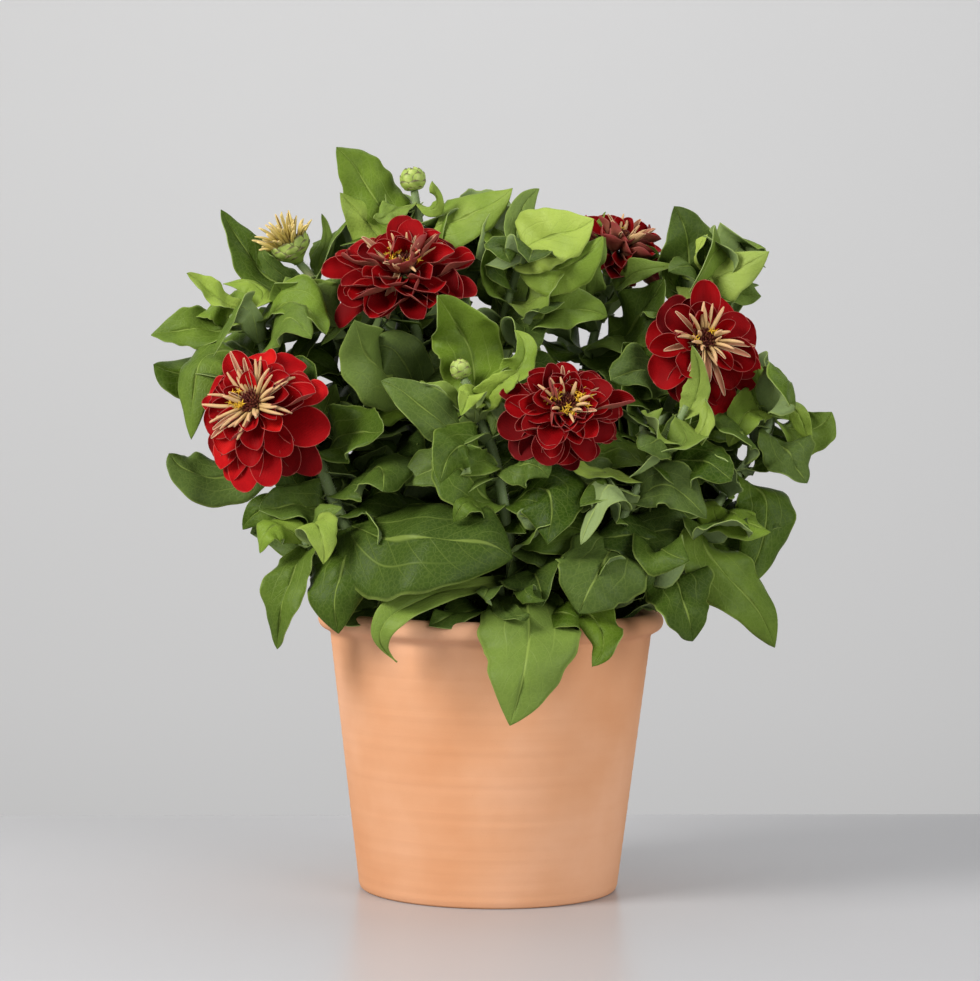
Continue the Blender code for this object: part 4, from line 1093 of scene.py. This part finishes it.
# Each bloom's whorls, from the outside in: petals, first angle, length, width, rise, turn, cup,
# height, shade. Then its quills: number, shortest, longest, lowest rise, highest rise. Then single
# petals: angle, length, width, rise, turn, cup, height, shade, twist. Then its ribbons: angle,
# length, width, rise, turn. Then clusters of open florets: angle, distance, how many. Last, how
# unruly its petals are.
BLOOMS = {
    "bloom_1": (
        [(11, 10, 31, 18, -4, -20, 0.2, 12.2, .50), (10, 26, 25, 16, 8, -10, 0.4, 14.0, .52),
         (9, 8, 20, 13, 22, -6, 0.6, 15.8, .52), (6, 40, 15, 9, 38, -4, 0.7, 17.4, .55)],
        (30, 9, 20, 12, 58),
        [(262, 37, 19, -6, -14, .2, 12.0, .62, 0), (285, 35, 17, -4, -16, .25, 12.6, .5, 10),
         (318, 39, 17, -14, -22, .1, 11.8, .12, -20), (236, 31, 17, 0, -20, .3, 12.4, .66, -15),
         (8, 32, 15, 10, 14, .6, 13.4, .62, 30), (120, 27, 16, 18, 10, .5, 13.8, .62, 0)],
        [(232, 22, 6, 20, -6), (226, 19, 5, 26, -8), (118, 24, 4, 24, 0), (100, 19, 4, 34, 6)],
        [(172, 8.0, 7), (215, 5.5, 3)], 1.0,
    ),
    "bloom_2": (
        [(12, 0, 35, 19, 0, 6, 0.3, 11.8, .30), (12, 14, 31, 18, 10, 12, 0.45, 13.6, .42),
         (10, 4, 25, 15, 26, 10, 0.55, 15.4, .45), (8, 20, 18, 12, 46, 10, 0.6, 17.2, .45)],
        (10, 10, 17, 35, 75),
        [(205, 38, 20, -16, -22, .3, 11.8, .22, 0), (180, 38, 18, 2, 8, .6, 12.6, .45, 25),
         (262, 25, 16, 16, 26, .5, 14.6, .35, 12), (232, 31, 19, 6, 10, .5, 13.0, .5, -20),
         (96, 25, 16, 50, -6, .2, 17.0, .35, 0), (76, 23, 15, 54, -8, .2, 17.2, .42, 8),
         (300, 30, 17, 2, 6, .5, 13.2, .5, 20), (340, 36, 17, 4, -8, .3, 12.4, .3, 0)],
        [(20, 19, 6, 40, -20), (35, 20, 4, 44, -14), (265, 14, 9, 40, 20), (170, 22, 8, 34, 20),
         (252, 24, 9, -30, -30)],
        [(150, 6.5, 8), (240, 4.5, 4), (330, 6.5, 5)], 1.5,
    ),
    "bloom_3": (
        [(12, 0, 27, 15, -10, -18, 0.2, 12.0, .20), (13, 14, 25, 13, 3, -8, 0.45, 13.6, .32),
         (13, 2, 22, 12.5, 18, 2, 0.35, 15.2, .42), (12, 16, 18, 11, 35, 6, 0.4, 16.6, .48),
         (8, 0, 13, 8.5, 52, 8, 0.5, 18.0, .50)],
        (9, 8, 15, 35, 72),
        [(268, 21, 17, -10, -16, .2, 11.8, .4, 0), (212, 28, 17, -20, -20, .2, 11.8, .1, 0),
         (358, 31, 12, 16, 18, 1.0, 13.6, .3, 20)],
        [(86, 14, 3, 40, 20), (98, 16, 4, 40, 8), (20, 17, 5, 36, -30), (330, 14, 4, 30, 24)],
        [(25, 8.0, 10), (160, 6.5, 5), (265, 5.0, 4)], 1.21,
    ),
    "bloom_4": (
        [(9, 14, 26, 20, -4, -14, 0.25, 12.2, .32), (7, 34, 22, 16, 12, -6, 0.55, 14.4, .40),
         (4, 25, 17, 10, 30, 0, 0.8, 16.4, .40)],
        (22, 8, 17, 30, 74),
        [(285, 31, 22, -10, -16, .15, 11.8, .42, 0), (248, 26, 20, -10, -18, .15, 12.0, .25, 0),
         (330, 30, 20, -6, -20, .3, 12.0, .38, 0), (88, 28, 17, 8, 10, .6, 13.4, .45, 0)],
        [(272, 17, 6, 16, -20), (288, 24, 5, 4, -12), (196, 18, 5, 18, -10), (240, 14, 4, 10, -10),
         (338, 19, 5, 20, -16), (352, 20, 4, 20, -16), (140, 17, 4, 30, -10)],
        [(60, 4.0, 2), (200, 5.0, 2)], 1.0,
    ),
    "bloom_5": (
        [(11, 0, 27, 16, -4, -12, 0.3, 12.0, .20), (10, 15, 24, 15, 12, 2, 0.5, 13.8, .32),
         (9, 0, 19, 12, 32, 10, 0.6, 15.6, .42), (7, 20, 15, 9, 52, 12, 0.6, 17.2, .46)],
        (9, 8, 14, 40, 78),
        [(150, 28, 15, 10, 8, .5, 13.0, .5, 0), (262, 24, 14, 16, 22, .6, 13.6, .3, 10)],
        [(262, 16, 10, 38, 24), (20, 15, 5, 50, 0), (330, 16, 7, 40, 20)],
        [(90, 5.0, 3)], 1.4,
    ),
}


def whorl_angles(count, first, wobble):
    return first + 360.0 * np.arange(count) / count + rng.normal(0, wobble, count)


def make_bloom(name):
    shoot, axis = BLOOM_AXES[name]
    whorls, quill_plan, singles, ribbons, clusters, unruly = BLOOMS[name]
    head = head_frame(shoot, axis)
    reds = []
    loose = unruly > 1.2
    slack = 0.1 if loose else 0.0
    for count, first, length, width, rise, turn, cup, height, shade in whorls:
        turns = whorl_angles(count, first, 6.0 * unruly)
        above = np.sin(np.radians(turns))
        share = 1 - 0.14 * above**2 if loose else 1 - 0.10 * above
        reds.append(petals(
            head, turns, length * share * rng.uniform(0.85, 1.06, count),
            width * rng.uniform(0.90, 1.22, count), rise + 9 * above + rng.normal(0, 5.5 * unruly, count),
            turn + rng.normal(0, 11 * unruly, count), cup + slack + rng.uniform(-0.3, 0.25, count), 4.0,
            height + rng.normal(0, 0.3, count), twist=rng.normal(0, 15 * unruly, count),
            drift=rng.normal(0, 0.08 * unruly, count), phase=rng.uniform(0, 1, count),
            ripple=rng.uniform(0.05, 0.18, count), shade=shade + rng.normal(0, 0.12, count)))
    for angle, length, width, rise, turn, cup, height, shade, twist in singles:
        reds.append(petals(head, [angle], length, width, rise, turn, cup, 4.0, height,
                           shade=shade, twist=twist, phase=rng.uniform(0, 1), ripple=0.08))
    made = make_piece(name + "_red_petals", joined(reds),
                      [FINISH["petal"], FINISH["petal_back"], FINISH["petal_edge"]],
                      [name + "_petals"])
    thicken(made, "petal")
    make_bloom_quills(name, head, quill_plan, ribbons)
    make_bloom_centre(name, head, clusters)


def make_bloom_quills(name, head, plan, ribbons):
    """The rolled inner petals, and the few that have opened into narrow ribbons."""
    count, short, long, low, high = plan
    turns = whorl_angles(count, rng.uniform(0, 30), 11.0)
    rise = rng.uniform(low, high, count)
    length = long - (long - short) * (rise - low) / (high - low) * rng.uniform(0.6, 1.0, count)
    rolled = quills(head, turns, length, rng.uniform(1.0, 1.8, count), rise, rng.normal(-8, 18, count),
                    rng.uniform(3.0, 5.0, count), 19.0 + rng.uniform(0, 2, count),
                    drift=rng.normal(0, 0.12, count), seam=rng.normal(180, 70, count))
    angle, reach, width, lift, bend = np.array(ribbons, float).T
    flat = petals(head, angle, reach, 0.75 * width, lift, bend, 0.9, 4.5, 19.0, shade=0.5, claw=0.5,
                  widest=0.35, rows=12, columns=7)
    made = make_piece(name + "_quills", joined([rolled, flat]),
                      [FINISH["quill_inside"], FINISH["quill"], FINISH["quill_edge"]])
    thicken(made, "quill")


GOLDEN_ANGLE = 2.39996  # radians: 137.5 degrees


def golden(count, radius, tall):
    """Places on a dome in the sunflower's order: the k-th stands at k golden angles, at a distance
    that grows with the square root of k. Returns angles, distances and heights."""
    k = np.arange(count) + 0.5
    share = np.sqrt(k / count)
    return np.degrees(k * GOLDEN_ANGLE), share * radius, tall * (1 - share**2)


def make_bloom_centre(name, head, clusters):
    """Dark pointed scales packed on a dome, with clusters of yellow five-lobed florets on its rim."""
    angles, distance, lift = golden(70, 5.2, 3.2)
    scales = petals(head, angles, 3.4, 1.5, 80 - 6 * distance, 14, 0.9, distance, 19.6 + lift,
                    rows=5, columns=5, widest=0.45, claw=0.7, ripple=0.0)
    slope = np.linspace(0, 1, 8) * math.pi / 2
    outline = np.stack([5.4 * np.sin(slope), 19.4 + 3.2 * np.cos(slope)], -1)
    dome = lathe(head, outline[::-1], 20)
    turns, out = [], []
    for angle, distance, number in clusters:
        k = np.arange(number)
        turns.append(angle + 21 * np.sqrt(k) * np.cos(k * 2.4) * 5.5 / distance)
        out.append(distance + 1.35 * np.sqrt(k) * np.sin(k * 2.4))
    turns, out = np.concatenate(turns), np.concatenate(out)
    count = len(turns)
    stars = star_florets(head, turns, out, 24.0 + rng.uniform(-0.6, 1.4, count), rng.uniform(0, 30, count))
    under = joined([{key: scales[key] for key in ("points", "faces")}, dome, stars])
    counts = [sum(len(block) for block in part["faces"]) for part in (scales, dome, stars)]
    finish = np.repeat([0, 0, 1], counts)
    made = make_piece(name + "_centre", under, [FINISH["centre"], FINISH["star"]],
                      [name + "_disc"], finish)
    thicken(made, "centre", 0, 0)


def lathe(head, profile, sides):
    """A profile of (distance, height) in millimetres carried round the head's axis."""
    origin, right, upwards, axis = head
    ring = turned(2 * math.pi * np.arange(sides) / sides, right, upwards)
    reach = np.maximum(profile[:, 0], 0.02)[:, None, None] * MM
    points = origin + reach * ring[None] + (profile[:, 1] * MM)[:, None, None] * axis
    return {"points": points.reshape(-1, 3), "faces": [grid_faces(len(profile), sides, True)]}


def tiles(head, outline, rows, lift):
    """Rounded scales that lie like tiles on a turned surface. The outline gives distance and height
    in millimetres at s, from 0 at the foot to 1 at the top. A scale runs from its first s to its last,
    t of the way, and stands lift (0.2 + t) off the surface, less towards its margins."""
    origin, right, upwards, axis = head
    parts = []
    t = np.linspace(0, 1, 10)[None, :, None]
    v = np.linspace(-1, 1, 9)[None, None, :]
    for count, first, low, high, width in rows:
        s = low + (high - low) * t * rng.uniform(0.9, 1.1, (count, 1, 1))
        distance, height = outline(s)
        ahead, above = outline(s + 0.01)
        run = np.hypot(ahead - distance, above - height)
        off = lift * (0.2 + t) * rng.uniform(0.8, 1.3, (count, 1, 1)) * (1 - 0.6 * v**2)
        shut = np.sqrt(np.clip(1 - (np.maximum(t - 0.4, 0) / 0.6) ** 2.2, 0.004, 1))
        widest = outline(np.array(low + 0.4 * (high - low)))[0]
        middle = np.radians(column(whorl_angles(count, first, 3.0), count))
        ring = turned(middle + v * shut * 0.5 * width / widest, right, upwards)
        out = (distance + off * (above - height) / run) * MM
        rise = (height - off * (ahead - distance) / run) * MM
        points = origin + out[..., None] * ring + rise[..., None] * axis
        parts.append(sheets(points, t, v, 0.5 * width * MM * shut, tint=rng.uniform(0, 1, (count, 1, 1))))
    return joined(parts)


def star_florets(head, angle, out, height, lean):
    """Small trumpets with five pointed lobes: a ring of ten points for each level, where the lobes'
    points run outwards and the gaps between them stay in."""
    origin, right, upwards, axis = head
    count = len(angle)
    levels = np.array([(0.35, -2.5), (0.55, -0.3), (0.8, 0.5), (1.25, 0.9)])
    turns = 2 * math.pi * np.arange(10) / 10
    lobes = 1 + np.cos(5 * turns)[None, :] * np.array([0.0, 0.05, 0.35, 0.75])[:, None]
    reach = levels[:, 0, None] * lobes * 1.15
    flat = np.stack([reach * np.cos(turns), reach * np.sin(turns),
                     levels[:, 1, None] + 0.25 * reach], -1)
    radial = turned(np.radians(angle), right, upwards)
    around = np.cross(axis, radial)
    stand = turned(np.radians(lean), axis, radial)
    outward = turned(np.radians(lean), radial, -axis)
    foot = origin + radial * (out * MM)[:, None] + axis * (height * MM)[:, None]
    points = (foot[:, None, None] + MM * (flat[None, ..., 0:1] * outward[:, None, None]
              + flat[None, ..., 1:2] * around[:, None, None] + flat[None, ..., 2:3] * stand[:, None, None]))
    return {"points": points.reshape(-1, 3), "faces": [repeated(grid_faces(4, 10, True), count, 40)]}


def make_scales(name, surface, replaced=()):
    """Green scales with a dark edge."""
    finishes = [FINISH["bract"], FINISH["bract"], FINISH["bract_edge"]]
    thicken(make_piece(name, surface, finishes, replaced), "bract", 0, 2)


def make_calyx(name, shoot, axis, wide):
    """The green cup under a head: rows of rounded bracts that overlap like tiles, each with a dark
    edge, on a bell-shaped core."""
    head = head_frame(shoot, axis)

    def bell(s):
        return (2.2 + 6.4 * smooth(s * 1.3)) * wide, 12.0 * s - 0.5

    rows = [(8, 10, 0.62, 1.18, 7.4), (7, 32, 0.38, 0.92, 7.4), (7, 10, 0.16, 0.68, 6.6),
            (6, 28, 0.0, 0.42, 5.0)]
    make_scales(name + "_bracts", tiles(head, bell, rows, 0.8))
    outline = np.stack(bell(np.linspace(0, 1, 9)), -1)
    core = lathe(head, np.vstack([[0.0, -0.5], outline, [0.0, 11.6]]), 20)
    make_piece(name + "_cup", core, [FINISH["bract"]])


def make_seed_head():
    """Faded tubular florets, upright in the middle and leaning out at the rim."""
    shoot, axis = SEED_HEAD
    head = head_frame(shoot, axis)
    count = 46
    angles, distance, lift = golden(count, 7.5, 2.5)
    tubes = quills(head, angles + rng.normal(0, 12, count), 10.5 + rng.uniform(-4.0, 6.0, count),
                   rng.uniform(1.0, 1.7, count), 88 - 6.5 * distance + rng.normal(0, 8, count),
                   rng.normal(0, 12, count), distance, 9.5 + lift, wrap=170.0,
                   drift=rng.normal(0, 0.12, count))
    made = make_piece("seed_head_tubes", tubes, [FINISH["seed"]] * 2 + [FINISH["quill_edge"]],
                      ["seed_head_florets"])
    thicken(made, "tube")
    make_calyx("seed_head", shoot, axis, 1.12)


def make_buds():
    """A flattened ball closed in rows of overlapping scales, with a small dark crown at its top."""
    for name, (shoot, radius, tall) in BUDS.items():
        points = shoot_points(shoot)
        head = head_frame(shoot, heading(points, len(points) - 1) + np.array((0.0, -0.02, 0.0)))
        share = radius / 6.7

        def ball(s, radius=radius, tall=tall):
            turn = math.pi * (0.06 + 0.90 * s)
            return (0.90 * radius * np.abs(np.sin(turn)) ** 0.75,
                    0.2 + 0.46 * tall * (1 - np.cos(turn)))

        rows = [(5, 36, 0.70, 0.97, 4.6 * share), (6, 0, 0.48, 0.88, 6.6 * share),
                (6, 30, 0.26, 0.70, 7.4 * share), (6, 0, 0.05, 0.46, 7.0 * share),
                (5, 30, 0.0, 0.24, 5.0 * share)]
        make_scales(name + "_scales", tiles(head, ball, rows, 0.8 * share), [name])
        outline = np.stack(ball(np.linspace(0, 1, 14)), -1)
        make_piece(name + "_heart", lathe(head, outline, 24), [FINISH["bract"]])


# Pot and potting mix ----------------------------------------------------------------------------

# The pot in millimetres: radius of the side at the foot and under the rim, radius of the rim, height
# of the rim's lower edge, of the whole pot, thickness of the wall and of the floor
POT_BASE, POT_TOP, POT_RIM = 64.6, 80.4, 86.4
POT_NECK, POT_HEIGHT, POT_WALL, POT_FLOOR = 129.0, 140.0, 5.0, 8.0
MIX_FLOOR = 8.3
# A head that stands at the origin and looks straight up
UPRIGHT = (np.zeros(3), np.array((1.0, 0, 0)), np.array((0, 1.0, 0)), np.array((0, 0, 1.0)))


def arc(centre, radius, start, end, steps):
    """Points on a circle between two angles in degrees."""
    angles = np.radians(np.linspace(start, end, steps))
    return np.stack([centre[0] + radius * np.cos(angles), centre[1] + radius * np.sin(angles)], -1)


def make_pot():
    """The turned pot: a closed profile of foot, flared side with the faint rings of the wheel, rolled
    rim over a small throat, inner wall, floor and drain hole, carried round the axis."""
    z = np.linspace(2.5, POT_NECK - 1.6, 90)
    side = POT_BASE + (POT_TOP - POT_BASE) * z / POT_NECK
    side = side + 0.05 * np.sin(z * 1.9 + np.sin(z * 0.7)) + 0.04 * np.sin(z * 0.83)
    foot = arc((POT_BASE - 2.0, 2.0), 2.0, -90, -5, 7)
    throat = np.array([(POT_TOP + 0.15, POT_NECK - 0.6), (POT_TOP + 0.7, POT_NECK + 0.1)])
    rim = arc((POT_RIM - 5.0, POT_HEIGHT - 5.0), 5.0, -58, 180, 30)
    inner_high = np.array([(POT_RIM - 10.0, POT_NECK)])
    inner_low = arc((POT_BASE - 7.0, POT_FLOOR + 3.0), 3.0, 0, -90, 5)
    drain = np.array([(9.0, POT_FLOOR), (8.2, POT_FLOOR - 0.6), (8.0, 0.6), (8.6, 0.0)])
    profile = np.vstack([foot, np.stack([side, z], -1), throat, rim, inner_high, inner_low, drain])
    profile = np.vstack([profile, profile[:1]])
    surface = lathe(UPRIGHT, profile, 180)
    make_piece("turned_pot", surface, [FINISH["clay"]], ["pot"])


def make_potting_mix():
    """A closed lump whose top is uneven: the sum of waves of different lengths and directions."""
    slope = (POT_TOP - POT_BASE) / POT_NECK
    wall = POT_BASE + slope * np.array([MIX_FLOOR, MIX_TOP - 1]) - POT_WALL - 0.6
    share = np.linspace(1, 0, 40)
    top_line = np.stack([wall[1] * share, np.full(40, MIX_TOP - 1.0)], -1)
    profile = np.vstack([[0.0, MIX_FLOOR], [wall[0], MIX_FLOOR], top_line])
    surface = lathe(UPRIGHT, profile, 120)
    points = surface["points"]
    top = points[:, 2] > 0.1
    x, y = points[top, 0], points[top, 1]
    rough = np.zeros(len(x))
    for _ in range(40):
        way = rng.uniform(0, 2 * math.pi)
        fine = rng.uniform(150, 1400)
        rough += np.sin(fine * (x * math.cos(way) + y * math.sin(way)) + rng.uniform(0, 6)) * (90 / fine)
    points[top, 2] += rough * 0.0011
    lumps = crumbs(260, wall[1] - 3.0)
    make_piece("mix_surface", joined([surface, lumps]), [FINISH["mix"]], ["potting_mix"])


def crumbs(count, radius):
    """Lumps of bark and peat: small eight-sided stones with uneven sides, half sunk in the mix."""
    corners = np.array([(1, 0, 0), (-1, 0, 0), (0, 1, 0), (0, -1, 0), (0, 0, 1), (0, 0, -1)], float)
    one = np.array([[0, 2, 4], [2, 1, 4], [1, 3, 4], [3, 0, 4], [2, 0, 5], [1, 2, 5], [3, 1, 5], [0, 3, 5]])
    size = rng.uniform(0.0008, 0.0030, (count, 1, 1)) * rng.uniform(0.5, 1.2, (count, 6, 1))
    way = rng.uniform(0, 2 * math.pi, count)
    far = radius * np.sqrt(rng.uniform(0.02, 1, count)) * MM
    place = np.stack([far * np.cos(way), far * np.sin(way), np.full(count, MIX_TOP * MM)], -1)
    points = place[:, None] + corners[None] * size
    return {"points": points.reshape(-1, 3), "faces": [repeated(one, count, 6)]}


# The room ---------------------------------------------------------------------------------------


def plain_board(name, corners, finish):
    mesh = bpy.data.meshes.new(name)
    mesh.from_pydata(corners, [], [(0, 1, 2, 3)])
    mesh.materials.append(finish)
    placed(name, mesh)


def make_room():
    """A pale table top that ends behind the pot, and a pale wall some way behind it."""
    # the table's back edge runs away to the right by 4.6 degrees, 0.236 m behind the pot's middle
    slope = math.tan(math.radians(4.6))
    back = 0.236
    half = 3.0
    table = [(-half, -half, 0.0), (half, -half, 0.0),
             (half, back + slope * half, 0.0), (-half, back - slope * half, 0.0)]
    plain_board("table_top", table, soft_finish(
        "table_grey", (0.45, 0.45, 0.465), 0.30, 3.0, 0.985, Specular_IOR_Level=0.3))
    wall = [(-7.0, 1.7, -3.0), (7.0, 1.7, -3.0), (7.0, 1.7, 5.0), (-7.0, 1.7, 5.0)]
    plain_board("wall", wall, soft_finish("wall_grey", (0.81, 0.81, 0.817), 0.9, 3.0, 0.985))


LIT_PLACE = (0.0, 0.0, 0.2)


def area_light(name, place, size, power, colour):
    """A square lamp that points at the plant."""
    data = bpy.data.lights.new(name, "AREA")
    data.shape = "SQUARE"
    data.size = size
    data.energy = power
    data.color = colour
    made = placed(name, data)
    made.location = place
    way = np.array(LIT_PLACE) - np.array(place)
    flat = math.hypot(way[0], way[1])
    pitch, yaw = math.atan2(way[2], flat), math.atan2(way[1], way[0])
    made.rotation_euler = (math.pi / 2 + pitch, 0.0, yaw - math.pi / 2)


def make_lights():
    """A warm key from the left, a softer fill from the right, a lamp above and a pale studio round
    them all."""
    area_light("key", (-1.22, -0.86, 1.05), 0.75, 34.5, (1.0, 0.985, 0.955))
    area_light("fill", (1.3, -1.3, 0.7), 1.2, 22.0, (0.98, 0.99, 1.0))
    area_light("top", (0.2, 0.4, 1.8), 1.4, 11.0, (1.0, 1.0, 1.0))
    world = bpy.data.worlds.new("studio")
    bpy.context.scene.world = world
    world.use_nodes = True
    shade = world.node_tree.nodes["Background"]
    shade.inputs["Color"].default_value = (1.0, 1.0, 1.0, 1.0)
    shade.inputs["Strength"].default_value = 0.22


def make_camera():
    """Level with the plant's middle, 1.45 m away, looking slightly down."""
    data = bpy.data.cameras.new("camera")
    data.lens = 106.4
    data.sensor_width = 36.0
    data.clip_end = 20.0
    made = placed("camera", data)
    made.location = (0.0, -1.45, 0.257)
    made.rotation_mode = "XYZ"
    yaw, pitch, roll = 0.000724, math.radians(90 - 2.281), 0.0103
    turn = Matrix.Rotation(yaw, 4, "Z") @ Matrix.Rotation(pitch, 4, "X") @ Matrix.Rotation(roll, 4, "Z")
    made.rotation_euler = turn.to_euler("XYZ")
    bpy.context.scene.camera = made


make_room()
make_lights()
make_camera()
make_pot()
make_potting_mix()
make_leaf_pairs()
make_small_leaves()
make_inner_leaves()
make_stems()
for bloom in BLOOMS:
    make_bloom(bloom)
    make_calyx(bloom, *BLOOM_AXES[bloom], 1.0)
make_seed_head()
make_buds()
bpy.context.scene.view_settings.view_transform = "Standard"
